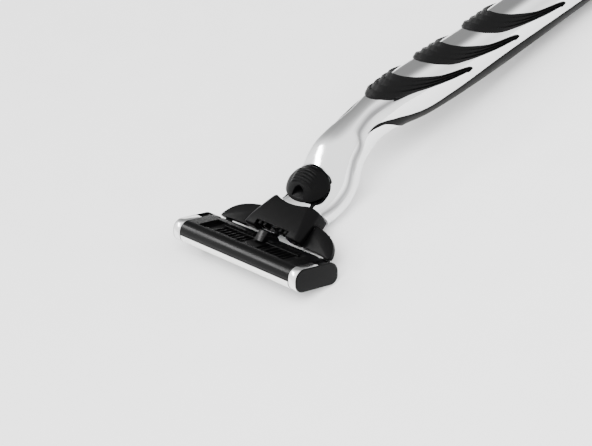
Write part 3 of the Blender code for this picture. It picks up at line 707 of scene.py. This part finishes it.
def grip_height(across, reach, settings):
    """Saw-tooth lift over a grip: across it from front to rear, and reach from the tail to the top."""
    tooth = across * settings.teeth % 1.0
    crest = min(tooth / TOOTH_SLOPE, (1.0 - tooth) / (1.0 - TOOTH_SLOPE))
    strength = settings.proud / MM * (0.28 + 0.72 * reach**2)
    edge = min(across, 1 - across)
    body = 0.08 + 0.06 * reach
    rise = min(1.0, edge / 0.05)
    tooth_height = strength * crest * min(1.0, edge / 0.03)
    return (GRIP_BED + body + tooth_height) * math.sqrt(rise) - GRIP_BED


class RAZOR_OT_grips(bpy.types.Operator):
    """Adds the three crescent grips with their saw-tooth ridges"""

    bl_idname = "razor.grips"
    bl_label = "Grips"

    def execute(self, context):
        settings = context.scene.razor_grips
        front = smooth_path(GRIP_FRONT, 10)
        rear = smooth_path(GRIP_REAR, 10)
        count = len(front)
        columns = np.linspace(0, 1, GRIP_HALF_COLUMNS * 2 + 1)
        for name, start in GRIP_STARTS:
            outer, inner = [], []
            for side in (0, 1):
                order = range(count) if side == 0 else range(count - 2, -1, -1)
                for i in order:
                    reach = i / (count - 1)
                    cap = min(1.0, (i + 0.001) / 6)
                    row, under = [], []
                    for across in columns:
                        spot = 0.5 + (across - 0.5) * math.sqrt(1 - (1 - cap) ** 2)
                        along, turn = front[i] + (rear[i] - front[i]) * spot
                        turn = math.radians(turn if side == 0 else 180 - turn)
                        lift = grip_height(across, reach, settings) * min(1.0, 0.3 + cap)
                        row.append(skin_point(start + along, turn, lift if i else -0.3))
                        under.append(skin_point(start + along, turn, -GRIP_FLOOR))
                    outer.append(row)
                    inner.append(under)
            piece(f"grip_{name}", grid_shell(outer, inner), RAZOR, "handle", finishes()["Grip rubber"],
                  [f"grip_pad_{name}"], 50)
        return {"FINISHED"}


# Edges of the strip: distance along the handle, height as a share of the section's half height
STRIP_UPPER = (
    (23.7, 0.42), (26.5, 0.38), (31.1, -0.03), (37.2, -0.34), (47.3, -0.30), (63.3, -0.15), (87.3, -0.25),
)
STRIP_END = ((9.0, -0.3), (6.5, -0.7), (5.6, -0.98))  # its upper edge again, by distance before the tail
STRIP_LOWER = ((23.9, 0.39), (26.0, 0.22), (28.3, -0.02), (31.5, -0.62), (34.3, -1.0))


def share_to_turn(share):
    """The turn at which the section stands at a share of its half height."""
    share = clamped(share, -1.0, 1.0)
    return math.copysign(math.asin(abs(share) ** (SECTION_POWER / 2)), share)


class RAZOR_OT_back_strip(bpy.types.Operator):
    """Adds the rubber strip along the back of the handle"""

    bl_idname = "razor.back_strip"
    bl_label = "Back strip"

    def execute(self, context):
        upper = smooth_path([*STRIP_UPPER, *[(TAIL - before, share) for before, share in STRIP_END]], 14)
        lower = smooth_path(STRIP_LOWER, 14)
        stops = np.linspace(0, 1, 190)
        reach = np.linspace(0, 1, len(upper))
        columns = np.linspace(0, 1, 25)
        outer, inner = [], []
        for stop in stops:
            s_up, n_up = (np.interp(stop, reach, upper[:, i]) for i in (0, 1))
            t_up = share_to_turn(n_up)
            if s_up < STRIP_LOWER[-1][0]:
                s_low = s_up
                t_low = share_to_turn(np.interp(s_up, lower[:, 0], lower[:, 1]))
            else:
                s_low, t_low = s_up, -math.pi / 2
            t_low = min(t_low, t_up - 0.004)
            row, under = [], []
            for across in columns:
                turn = t_up + (t_low - t_up) * across
                edge = min(1.0, across / 0.08)
                if s_up < STRIP_LOWER[-1][0]:
                    edge = min(edge, (1 - across) / 0.08)
                lift = -0.2 + 0.32 * math.sqrt(max(edge, 0.0))
                row.append(skin_point(s_up + (s_low - s_up) * across, turn, lift))
                under.append(skin_point(s_up, turn, -0.6))
            outer.append(row)
            inner.append(under)
        right = grid_shell(outer, inner)
        left = right.copy()
        bmesh.ops.scale(left, vec=(-1, 1, 1), verts=left.verts)
        bmesh.ops.reverse_faces(left, faces=left.faces)
        holder = bpy.data.meshes.new("left")
        left.to_mesh(holder)
        left.free()
        right.from_mesh(holder)
        bpy.data.meshes.remove(holder)
        piece("back_strip_skin", right, RAZOR, "handle", finishes()["Grip rubber"],
              ["back_strip"], 40)
        return {"FINISHED"}


# ---------------------------------------------------------------- button, hood and yoke


RIDGED = (0.6, 4.1)  # where the ridges start and end on the dome
RIDGED_HALF = 3.6


def button_surface(mesh, settings):
    """Presses the thumb rest and its ridges into the dome, in the dome's own frame."""
    half_width, half_depth, half_height = BUTTON_HALVES
    front, back = RIDGED
    for vert in mesh.verts:
        x, y, z = vert.co
        if z < 0:
            continue
        bow = y + 0.06 * x * x
        inside = clamped((bow - front) / 0.2) * clamped((back - bow) / 0.4)
        inside *= clamped((RIDGED_HALF - abs(x)) / 0.9)
        crest = math.sin(math.pi * ((bow - front) / (back - front) * settings.ridges % 1.0))
        scoop = -0.3 * math.exp(-(((y + 1.8) / 1.6) ** 2) - (x / 3.2) ** 2)
        step = 0.14 * inside
        ridge = settings.ridge_height / MM * inside * (abs(crest) ** 0.7 - 0.4)
        lift = ridge + step + scoop * (z / half_height)
        outward = Vector((x / half_width**2, y / half_depth**2, z / half_height**2)).normalized()
        vert.co += outward * lift


class RAZOR_OT_button(bpy.types.Operator):
    """Adds the domed release button with its ridges, arched front and pusher arms"""

    bl_idname = "razor.button"
    bl_label = "Release button"

    def execute(self, context):
        dome = button_dome(0.0, 160, 96)
        button_surface(dome, context.scene.razor_head)
        moved(dome, dome_place())
        centre, radius, floor = BUTTON_ARCH
        arch = [(radius * math.cos(a), centre + radius * math.sin(a)) for a in np.linspace(0, math.pi, 32)]
        arch = slab([*arch, (-radius, 9.0), (radius, 9.0)], floor, 6.0)
        dome = cut(dome, box((-9, 9), (5, 25), (-9, BUTTON_BASE)), arch)
        bar = rounded(box(*ARM_BAR), 0.15)
        arms = []
        for side in (-1, 1):
            arm = box(side_band(side, *ARM_SIDES), (HEAD_FACE - 0.3, ARM_BACK), ARM_HEIGHTS)
            arms.append(rounded(arm, 0.12))
        piece("button_cap", join(dome, box(*STEM), bar, *arms), NOSE, "button", finishes()["Button plastic"],
              ["release_button"], 40)
        return {"FINISHED"}


# Sections of the hood: place along the nose, then half widths and heights at its foot, shoulder and top
HOOD_SECTIONS = (
    (3.8, 8.8, 9.0, 8.3, -0.3, 1.6, 2.15),
    (5.6, 8.7, 8.9, 8.0, -1.2, 1.4, 2.3),
    (7.6, 8.4, 8.5, 7.2, -2.3, 1.2, 2.35),
    (9.8, 8.0, 8.1, 6.3, -2.5, 1.1, 2.3),
    (12.0, 7.5, 7.6, 5.5, -2.6, 0.9, 2.15),
)


def hood_body():
    """The hood as a rounded loft, still solid."""
    mesh = bmesh.new()
    rings = []
    for t, low_half, mid_half, top_half, low, mid, high in HOOD_SECTIONS:
        corners = ((low_half, low), (mid_half, mid), (top_half, high))
        ring = [mesh.verts.new((x, t, h)) for x, h in corners]
        ring += [mesh.verts.new((-x, t, h)) for x, h in corners[::-1]]
        rings.append(ring)
    for ring, following in zip(rings, rings[1:]):
        for i in range(6):
            j = (i + 1) % 6
            mesh.faces.new((ring[i], ring[j], following[j], following[i]))
    mesh.faces.new(rings[0][::-1])
    mesh.faces.new(rings[-1])
    bmesh.ops.recalc_face_normals(mesh, faces=mesh.faces)
    return rounded(mesh, 0.5, 5, 20)


PLUNGER_ROOM = ((-1.6, 1.6), (3, 8), (-1.5, 1.2))
FRONT_NOTCH = ((-5.3, 5.3), (2, 5.25), (-4, 4))
# Posts in the notch of the hood's front edge: place across, width
HOOD_POSTS = ((-4.2, 0.9), (-2.6, 0.7), (2.6, 0.7), (4.2, 0.9))
YOKE_BAR = ((5.9, -3.05), (9.3, -3.35), (9.6, -2.8), (7.6, -2.52), (6.2, -2.48))
YOKE_BAR_HALF = 10.2
RISER_SIDES = (9.1, 10.3)
WING_HEIGHTS = (-0.55, 0.5)


class RAZOR_OT_connector(bpy.types.Operator):
    """Adds the hood that clicks over the nose, and the yoke that carries the cartridge"""

    bl_idname = "razor.connector"
    bl_label = "Connector"

    def execute(self, context):
        low, high = NOSE_HEIGHTS
        half = NOSE_HALF + GAP * 2
        bore = moved(prism(arc(PIVOT, HOOD_BORE, 0, 355, 72), -20, 20), NOSE_TO_RAZOR.inverted())
        nose_room = box((-half, half), (NOSE_TIP - 0.3, 14), (low - 0.12, high + 0.12))
        rear_edge = hood_edge(HOOD_EDGE_RADIUS)
        hood = cut(hood_body(), nose_room, box(*PLUNGER_ROOM), box(*FRONT_NOTCH), rear_edge, bore)
        posts = []
        for x, width in HOOD_POSTS:
            posts.append(rounded(box((x - width / 2, x + width / 2), (4.5, 6.0), (0.2, 2.0)), 0.12))
        hood = join(hood, *posts)
        piece("hood_shell", hood, NOSE, "connector", finishes()["Hood plastic"],
              ["connector_hood"], 35)

        yoke = moved(prism(YOKE_BAR, -YOKE_BAR_HALF, YOKE_BAR_HALF), NOSE_TO_RAZOR)
        joined = []
        for side in (-1, 1):
            plan = smooth_path(WING_PLAN[1:9], 5)
            plan = [WING_PLAN[0], *[tuple(point) for point in plan], *WING_PLAN[9:]]
            wing = rounded(slab([(side * x, t) for x, t in plan], *WING_HEIGHTS), 0.2, 3, 50)
            joined.append(moved(wing, NOSE_TO_RAZOR))
            riser = box(side_band(side, *RISER_SIDES), (6.1, 8.7), (-3.0, 0.3))
            joined.append(moved(rounded(riser, 0.15), NOSE_TO_RAZOR))
        steps = [("UNION", mesh) for mesh in joined]
        steps.append(("DIFFERENCE", prism(arc(PIVOT, YOKE_BORE, 0, 355, 72), -20, 20)))
        for side in (-1, 1):
            tongue = sector(PIVOT, TONGUE_RADII, TONGUE_ANGLES)
            steps.append(("UNION", prism(tongue, *side_band(side, *TONGUE_X))))
            web_radii = (TONGUE_RADII[0] + 0.02, YOKE_BORE + 0.9)
            web = sector(PIVOT, web_radii, (TONGUE_ANGLES[0], TONGUE_ANGLES[0] + TONGUE_WEB), 8)
            steps.append(("UNION", prism(web, *side_band(side, TONGUE_X[0] + 0.05, TONGUE_X[1] - 0.05))))
        piece("yoke_wings", combined(yoke, steps), RAZOR, "connector", finishes()["Yoke plastic"],
              ["connector_yoke"], 35)
        return {"FINISHED"}


# ---------------------------------------------------------------- cartridge


def housing_outline(grow=0.0, steps=16):
    """The rounded side view of the cartridge."""
    half = CARTRIDGE_DEPTH / 2 + grow
    top, foot = TOP_RADIUS + grow, FOOT_RADIUS + grow
    high = CARTRIDGE_HEIGHT + grow
    corners = (
        ((half - foot, foot - grow), foot, -90, 0),
        ((half - top, high - top), top, 0, 90),
        ((top - half, high - top), top, 90, 180),
        ((foot - half, foot - grow), foot, 180, 270),
    )
    points = []
    for centre, radius, first, last in corners:
        points += arc(centre, radius, first, last, steps)
    return points


def cam_outline():
    """Spiral face that moves the plunger evenly as the cartridge turns."""
    face = []
    for turn in np.radians(np.linspace(-PIVOT_FORWARD - 4, PIVOT_BACK + 4, 36)):
        reach = PLUNGER_TIP + PLUNGER_RATE * turn
        angle = math.radians(NOSE_ANGLE) + math.atan2(NOSE_ARM, reach) + turn
        radius = math.hypot(reach, NOSE_ARM) - 0.12
        face.append((PIVOT[0] + radius * math.cos(angle), PIVOT[1] + radius * math.sin(angle)))
    return face + [(1.2, 4.2), (3.0, 3.4), (4.2, 2.6)]


def clip_seat(side):
    """What the housing loses under one end clip."""
    x = side_band(side, CLIP_INNER - GAP, CLIP_INNER + CLIP_WIDTH + GAP)
    core = prism(housing_outline(-CLIP_THICK - GAP), x[0] - 1, x[1] + 1)
    return cut(prism(housing_outline(2.0), *x), core)


BACK_RECESS = ((-14.9, 14.9), (-2.9, 2.2), (3.9, 6))
RINSE_BAYS = ((-11.6, -5.2), (-4.2, -2.2), (2.2, 4.2), (5.2, 11.6))
BAY_DEPTH = (-2.3, 1.8)
BAY_HEIGHTS = (1.5, 6)


class RAZOR_OT_housing(bpy.types.Operator):
    """Adds the cartridge housing with its windows, seats and cam"""

    bl_idname = "razor.housing"
    bl_label = "Cartridge housing"

    def execute(self, context):
        half = CARTRIDGE_LENGTH / 2
        housing = rounded(prism(housing_outline(), -half, half), 0.3, 4, 60)
        tools = [
            box((-WINDOW_HALF, WINDOW_HALF), WINDOW, (-1, WINDOW_TOP)),
            box((-SUPPORT_HALF - 0.12, SUPPORT_HALF + 0.12), (WINDOW[0] + 0.2, WINDOW[1] - 0.1),
                (0.16, WINDOW_TOP)),
            box((0.3 - CLIP_INNER, CLIP_INNER - 0.3), (-3.4, 6), (-1, FACE_RELIEF)),
            box(*BACK_RECESS),
            box((-STRIP_HALF - GAP, STRIP_HALF + GAP), (-9, -CARTRIDGE_DEPTH / 2 + STRIP_WIDTH + GAP),
                (-1, STRIP_HEIGHT + GAP)),
            box((-WINDOW_HALF - GAP, WINDOW_HALF + GAP), (GUARD[0] - GAP, GUARD[1] + GAP),
                (-1, GUARD_TOP + GAP)),
        ]
        for x_low, x_high in RINSE_BAYS:
            tools.append(rounded(box((x_low, x_high), BAY_DEPTH, BAY_HEIGHTS), 0.3))
        steps = [("DIFFERENCE", mesh) for mesh in tools]
        steps.append(("UNION", rounded(prism(cam_outline(), -1.3, 1.3), 0.14, 3, 50)))
        for side in (-1, 1):
            x = side_band(side, TONGUE_X[0] - 0.1, TONGUE_X[1] + 0.1)
            inner, outer = TONGUE_RADII[0] - 0.1, TONGUE_RADII[1] + 0.1
            track_end = TONGUE_ANGLES[1] + PIVOT_BACK + 2
            mouth_end = TONGUE_ANGLES[0] + TONGUE_WEB + PIVOT_BACK + 3
            track = prism(sector(PIVOT, (inner, outer), (TRACK_START, track_end)), *x)
            mouth = prism(sector(PIVOT, (inner, 8.0), (TRACK_START, mouth_end)), *x)
            steps += [("DIFFERENCE", mesh) for mesh in (track, mouth, clip_seat(side))]
        piece("housing_shell", combined(housing, steps), RAZOR, "cartridge", finishes()["Cartridge plastic"],
              ["cartridge_housing"], 35)
        return {"FINISHED"}


def input_of(modifier, label, value):
    """Sets a Geometry Nodes input by the label of its socket."""
    for item in modifier.node_group.interface.items_tree:
        if item.item_type == "SOCKET" and item.in_out == "INPUT" and item.name == label:
            modifier[item.identifier] = value
            return
    raise ValueError(f"no input named {label}")


RIDGE_INPUTS = (
    ("Length", "NodeSocketFloat", 30.0), ("Width", "NodeSocketFloat", 0.12),
    ("Height", "NodeSocketFloat", 0.5), ("Rounding", "NodeSocketFloat", 0.04),
    ("Count", "NodeSocketInt", 5), ("Pitch", "NodeSocketVector", (0.0, 0.36, 0.0)),
)


def scaled_by(tree, source, factor):
    """A socket that holds a source times a number."""
    made = tree.nodes.new("ShaderNodeMath")
    made.operation = "MULTIPLY"
    made.inputs[1].default_value = factor
    tree.links.new(source, made.inputs[0])
    return made.outputs["Value"]


def ridge_tree(name, finish):
    """A row of rounded ridges that lie along x, one pitch apart. All sizes are in millimetres."""
    tree = bpy.data.node_groups.new(name, "GeometryNodeTree")
    for label, kind, value in RIDGE_INPUTS:
        tree.interface.new_socket(label, in_out="INPUT", socket_type=kind).default_value = value
    tree.interface.new_socket("Geometry", in_out="OUTPUT", socket_type="NodeSocketGeometry")
    nodes, links = tree.nodes, tree.links
    given = nodes.new("NodeGroupInput")
    out = nodes.new("NodeGroupOutput")
    profile = nodes.new("GeometryNodeCurvePrimitiveQuadrilateral")
    fillet = nodes.new("GeometryNodeFilletCurve")
    fillet.mode = "POLY"
    fillet.inputs["Count"].default_value = 3
    start = nodes.new("ShaderNodeCombineXYZ")
    end = nodes.new("ShaderNodeCombineXYZ")
    line = nodes.new("GeometryNodeCurvePrimitiveLine")
    sweep = nodes.new("GeometryNodeCurveToMesh")
    sweep.inputs["Fill Caps"].default_value = True
    row = nodes.new("GeometryNodeMeshLine")
    copies = nodes.new("GeometryNodeInstanceOnPoints")
    real = nodes.new("GeometryNodeRealizeInstances")
    painted = nodes.new("GeometryNodeSetMaterial")
    painted.inputs["Material"].default_value = finish
    links.new(scaled_by(tree, given.outputs["Length"], -0.5), start.inputs["X"])
    links.new(scaled_by(tree, given.outputs["Length"], 0.5), end.inputs["X"])
    for source, output, target, entry in (
        (given, "Width", profile, "Width"),
        (given, "Height", profile, "Height"),
        (profile, "Curve", fillet, "Curve"),
        (given, "Rounding", fillet, "Radius"),
        (start, "Vector", line, "Start"),
        (end, "Vector", line, "End"),
        (line, "Curve", sweep, "Curve"),
        (fillet, "Curve", sweep, "Profile Curve"),
        (given, "Count", row, "Count"),
        (given, "Pitch", row, "Offset"),
        (row, "Mesh", copies, "Points"),
        (sweep, "Mesh", copies, "Instance"),
        (copies, "Instances", real, "Geometry"),
        (real, "Geometry", painted, "Geometry"),
        (painted, "Geometry", out, "Geometry"),
    ):
        links.new(source.outputs[output], target.inputs[entry])
    return tree


def ridge_row(tree, place, **sizes):
    """The plain mesh of one row of ridges, moved to its place in millimetres."""
    holder = loose_object(bmesh.new(), "ridges")
    modifier = holder.modifiers.new("ridges", "NODES")
    modifier.node_group = tree
    for label, value in sizes.items():
        input_of(modifier, label, value)
    data = evaluated_mesh(holder)
    drop(holder)
    mesh = bmesh.new()
    mesh.from_mesh(data)
    bpy.data.meshes.remove(data)
    bmesh.ops.recalc_face_normals(mesh, faces=mesh.faces)
    bmesh.ops.translate(mesh, vec=place, verts=mesh.verts)
    return mesh


def merged(meshes):
    """Several meshes as one, without joining their surfaces."""
    first = meshes[0]
    for other in meshes[1:]:
        data = bpy.data.meshes.new("part")
        other.to_mesh(data)
        other.free()
        first.from_mesh(data)
        bpy.data.meshes.remove(data)
    return first


FIRST_FIN = (3.11, 0.33)
LAST_FIN_RISE = 0.135  # the last fin stands on the rounded edge of the guard


class RAZOR_OT_guard(bpy.types.Operator):
    """Adds the rubber guard with its row of fins"""

    bl_idname = "razor.guard"
    bl_label = "Guard fins"

    def execute(self, context):
        settings = context.scene.razor_cartridge
        finish = finishes()["Fin rubber"]
        tree = ridge_tree("Guard fins", finish)
        last = settings.fins - 1
        rows = []
        pitch = settings.fin_pitch / MM
        for count, first, rise in ((last, 0, 0.0), (1, last, LAST_FIN_RISE)):
            place = (0, FIRST_FIN[0] + first * pitch, FIRST_FIN[1] + rise)
            rows.append(ridge_row(tree, place, Length=2 * WINDOW_HALF - 0.1, Width=0.15, Height=0.62,
                                  Rounding=0.06, Count=count, Pitch=(0.0, pitch, 0.0)))
        base = box((-WINDOW_HALF, WINDOW_HALF), (GUARD[0], GUARD[1] - 0.05), (0.56, GUARD_TOP))
        piece("guard_rows", merged([rounded(base, 0.06), *rows]), RAZOR, "cartridge", finish,
              ["guard_fins"], 40)
        return {"FINISHED"}


RIB_INSET = 1.0


class RAZOR_OT_back_ribs(bpy.types.Operator):
    """Adds the fine ribs across the back of the housing"""

    bl_idname = "razor.back_ribs"
    bl_label = "Back ribs"

    def execute(self, context):
        settings = context.scene.razor_cartridge
        finish = finishes()["Cartridge plastic"]
        tree = ridge_tree("Back ribs", finish)
        rows = []
        left, right = (RINSE_BAYS[0][0], RINSE_BAYS[1][1]), (RINSE_BAYS[2][0], RINSE_BAYS[3][1])
        for x_low, x_high in (left, right):
            length = x_high - x_low + 1.2
            middle = (x_low + x_high) / 2
            start = middle - length / 2 + RIB_INSET
            pitch = (length - 2 * RIB_INSET) / (settings.ribs - 1)
            rows += [
                ridge_row(tree, (middle, -2.8, 4.44), Length=length, Width=0.24, Height=0.6,
                          Rounding=0.1, Count=1),
                ridge_row(tree, (middle, 1.98, 3.98), Length=length, Width=0.2, Height=0.4,
                          Rounding=0.07, Count=1),
                ridge_row(tree, (start, -0.25, 3.9), Length=0.22, Width=4.4, Height=0.4, Rounding=0.06,
                          Count=settings.ribs, Pitch=(pitch, 0.0, 0.0)),
            ]
        piece("back_ribs", merged(rows), RAZOR, "cartridge", finish, (), 40)
        return {"FINISHED"}


class RAZOR_OT_fittings(bpy.types.Operator):
    """Adds the lubricating strip and the two metal end clips"""

    bl_idname = "razor.fittings"
    bl_label = "Strip and clips"

    def execute(self, context):
        room = box((-STRIP_HALF, STRIP_HALF), (-9, -CARTRIDGE_DEPTH / 2 + STRIP_WIDTH), (-1, STRIP_HEIGHT))
        groove = box((0.6 - STRIP_HALF, STRIP_HALF - 0.6), (-9, -4.42), (0.42, 0.54))
        strip = combined(prism(housing_outline(), -STRIP_HALF - 1, STRIP_HALF + 1),
                         [("INTERSECT", room), ("DIFFERENCE", groove)])
        piece("lubricating_bar", strip, RAZOR, "cartridge", finishes()["Lubricating strip"],
              ["lubricating_strip"], 40)
        for name, side in (("left", -1), ("right", 1)):
            x = side_band(side, CLIP_INNER, CLIP_INNER + CLIP_WIDTH)
            inner = prism(housing_outline(-CLIP_THICK), x[0] - 1, x[1] + 1)
            gap = box((x[0] - 1, x[1] + 1), (0.5, 4.0), (3, 6))
            clip = rounded(cut(prism(housing_outline(), *x), inner, gap), 0.07, 2, 50)
            piece(f"clip_band_{name}", clip, RAZOR, "cartridge", finishes()["Clip metal"],
                  [f"clip_{name}"], 40)
        return {"FINISHED"}


CARRIED = (
    ("nose_block", "Hood plastic"),
    ("plunger", "Hood plastic"),
    ("plunger_spring", "Spring steel"),
    ("button_spring", "Spring steel"),
    *[(f"blade_{i}", "Blade steel") for i in (1, 2, 3)],
    *[(f"blade_support_{i}", "Blade steel") for i in (1, 2, 3)],
)


class RAZOR_OT_inner_parts(bpy.types.Operator):
    """Gives the blades, springs, plunger and nose block their finishes"""

    bl_idname = "razor.inner_parts"
    bl_label = "Blades and inner parts"

    def execute(self, context):
        for node, finish in CARRIED:
            materials = frame["nodes"][node].data.materials
            materials.clear()
            materials.append(finishes()[finish])
        return {"FINISHED"}


# ---------------------------------------------------------------- stage


def soft_light(name, place, target, size, power, mirrored):
    """An area light. Only a mirrored one shows in the polished surfaces."""
    data = bpy.data.lights.new(name, "AREA")
    data.shape = "RECTANGLE"
    data.size, data.size_y = size
    data.energy = power
    made = bpy.data.objects.new(name, data)
    made.visible_glossy = mirrored
    made.location = place
    made.rotation_euler = (Vector(target) - Vector(place)).to_track_quat("-Z", "Y").to_euler()
    bpy.context.scene.collection.objects.link(made)


# Camera, in the razor's frame
CAMERA_PLACE = (290.04, -217.35, 126.42)
CAMERA_RIGHT = (0.61866, 0.78566, 0.0)
CAMERA_UP = (-0.24377, 0.19196, 0.95065)
CAMERA_BACK = (0.74689, -0.58812, 0.31028)
SENSOR = 36.0
LENS = 115.5
FLOOR_HALF = 3.0
# The surroundings are white, and darken towards one direction between two cosines of the angle to it
DARK_CARD = (-0.66, 0.66, 0.34)
DARK_EDGE = 0.66
DARK_HEART = 0.97
DARK_SHADE = 0.16
# Lights: name, place, target, size, share of the key light's power, whether polished surfaces show it
LIGHTS = (
    ("key", (0.25, -0.25, 0.5), (0, -0.03, 0), (0.5, 0.4), 1.0, False),
    ("side", (0.5, 0.2, 0.25), (0, 0, 0.01), (0.35, 0.3), 0.5, False),
    ("streak", (-0.45, -0.21, 0.37), (0, -0.06, 0.01), (0.3, 0.07), 0.25, True),
)


def add_floor(scene, colour):
    mesh = bmesh.new()
    bmesh.ops.create_grid(mesh, x_segments=1, y_segments=1, size=FLOOR_HALF)
    data = bpy.data.meshes.new("floor")
    mesh.to_mesh(data)
    mesh.free()
    floor = bpy.data.objects.new("floor", data)
    scene.collection.objects.link(floor)
    data.materials.append(surface("Floor paper", colour, (0.6, 0.8), 600, 0.00002, 0.0, (0.99, 1.0)))


def add_surroundings(scene, strength):
    world = bpy.data.worlds.new("Studio")
    scene.world = world
    world.use_nodes = True
    nodes, links = world.node_tree.nodes, world.node_tree.links
    place = nodes.new("ShaderNodeTexCoord")
    towards = nodes.new("ShaderNodeVectorMath")
    towards.operation = "DOT_PRODUCT"
    towards.inputs[1].default_value = Vector(DARK_CARD).normalized()
    ramp = nodes.new("ShaderNodeValToRGB")
    ramp.color_ramp.interpolation = "EASE"
    for stop, position, shade in zip(ramp.color_ramp.elements, (DARK_EDGE, DARK_HEART), (1.0, DARK_SHADE)):
        stop.position = position
        stop.color = (shade, shade, shade, 1.0)
    links.new(place.outputs["Generated"], towards.inputs[0])
    links.new(towards.outputs["Value"], ramp.inputs["Fac"])
    links.new(ramp.outputs["Color"], nodes["Background"].inputs["Color"])
    nodes["Background"].inputs["Strength"].default_value = strength


def add_camera(scene):
    data = bpy.data.cameras.new("camera")
    data.sensor_width = SENSOR
    data.lens = LENS
    data.clip_start, data.clip_end = 0.01, 10.0
    camera = bpy.data.objects.new("camera", data)
    scene.collection.objects.link(camera)
    turn = Matrix((CAMERA_RIGHT, CAMERA_UP, CAMERA_BACK)).transposed().to_4x4()
    lie = Matrix.Rotation(-LIE, 4, "X")
    camera.matrix_world = Matrix.Translation(RAZOR @ Vector(CAMERA_PLACE)) @ lie @ turn
    scene.camera = camera


class RAZOR_OT_stage(bpy.types.Operator):
    """Adds the pale floor, the soft lights, the surroundings and the camera"""

    bl_idname = "razor.stage"
    bl_label = "Stage"

    def execute(self, context):
        settings = context.scene.razor_stage
        add_floor(context.scene, tuple(settings.floor_colour))
        add_surroundings(context.scene, settings.sky_strength)
        for name, place, target, size, share, mirrored in LIGHTS:
            soft_light(name, place, target, size, settings.key_power * share, mirrored)
        add_camera(context.scene)
        return {"FINISHED"}


# ---------------------------------------------------------------- panel and registration

OPERATORS = (
    RAZOR_OT_handle, RAZOR_OT_grips, RAZOR_OT_back_strip, RAZOR_OT_button, RAZOR_OT_connector,
    RAZOR_OT_housing, RAZOR_OT_guard, RAZOR_OT_back_ribs, RAZOR_OT_fittings, RAZOR_OT_inner_parts,
    RAZOR_OT_stage,
)
SETTINGS = (
    ("razor_handle", HandleSettings), ("razor_grips", GripSettings), ("razor_head", HeadSettings),
    ("razor_cartridge", CartridgeSettings), ("razor_stage", StageSettings),
)


class RAZOR_PT_panel(bpy.types.Panel):
    """Lists the pieces of the razor"""

    bl_label = "Cartridge Razor"
    bl_idname = "RAZOR_PT_panel"
    bl_space_type = "VIEW_3D"
    bl_region_type = "UI"
    bl_category = "Razor"

    def draw(self, context):
        for name, group in SETTINGS:
            box_layout = self.layout.box()
            for key in group.__annotations__:
                box_layout.prop(getattr(context.scene, name), key)
        for operator in OPERATORS:
            self.layout.operator(operator.bl_idname)


def register():
    for name, group in SETTINGS:
        bpy.utils.register_class(group)
        setattr(bpy.types.Scene, name, PointerProperty(type=group))
    for cls in (*OPERATORS, RAZOR_PT_panel):
        bpy.utils.register_class(cls)


def unregister():
    for cls in (RAZOR_PT_panel, *OPERATORS[::-1]):
        bpy.utils.unregister_class(cls)
    for name, group in SETTINGS[::-1]:
        delattr(bpy.types.Scene, name)
        bpy.utils.unregister_class(group)


def main():
    register()
    bpy.ops.razor.handle()
    bpy.ops.razor.grips()
    bpy.ops.razor.back_strip()
    bpy.ops.razor.button()
    bpy.ops.razor.connector()
    bpy.ops.razor.housing()
    bpy.ops.razor.guard()
    bpy.ops.razor.back_ribs()
    bpy.ops.razor.fittings()
    bpy.ops.razor.inner_parts()
    bpy.ops.razor.stage()


if __name__ == "__main__":
    main()
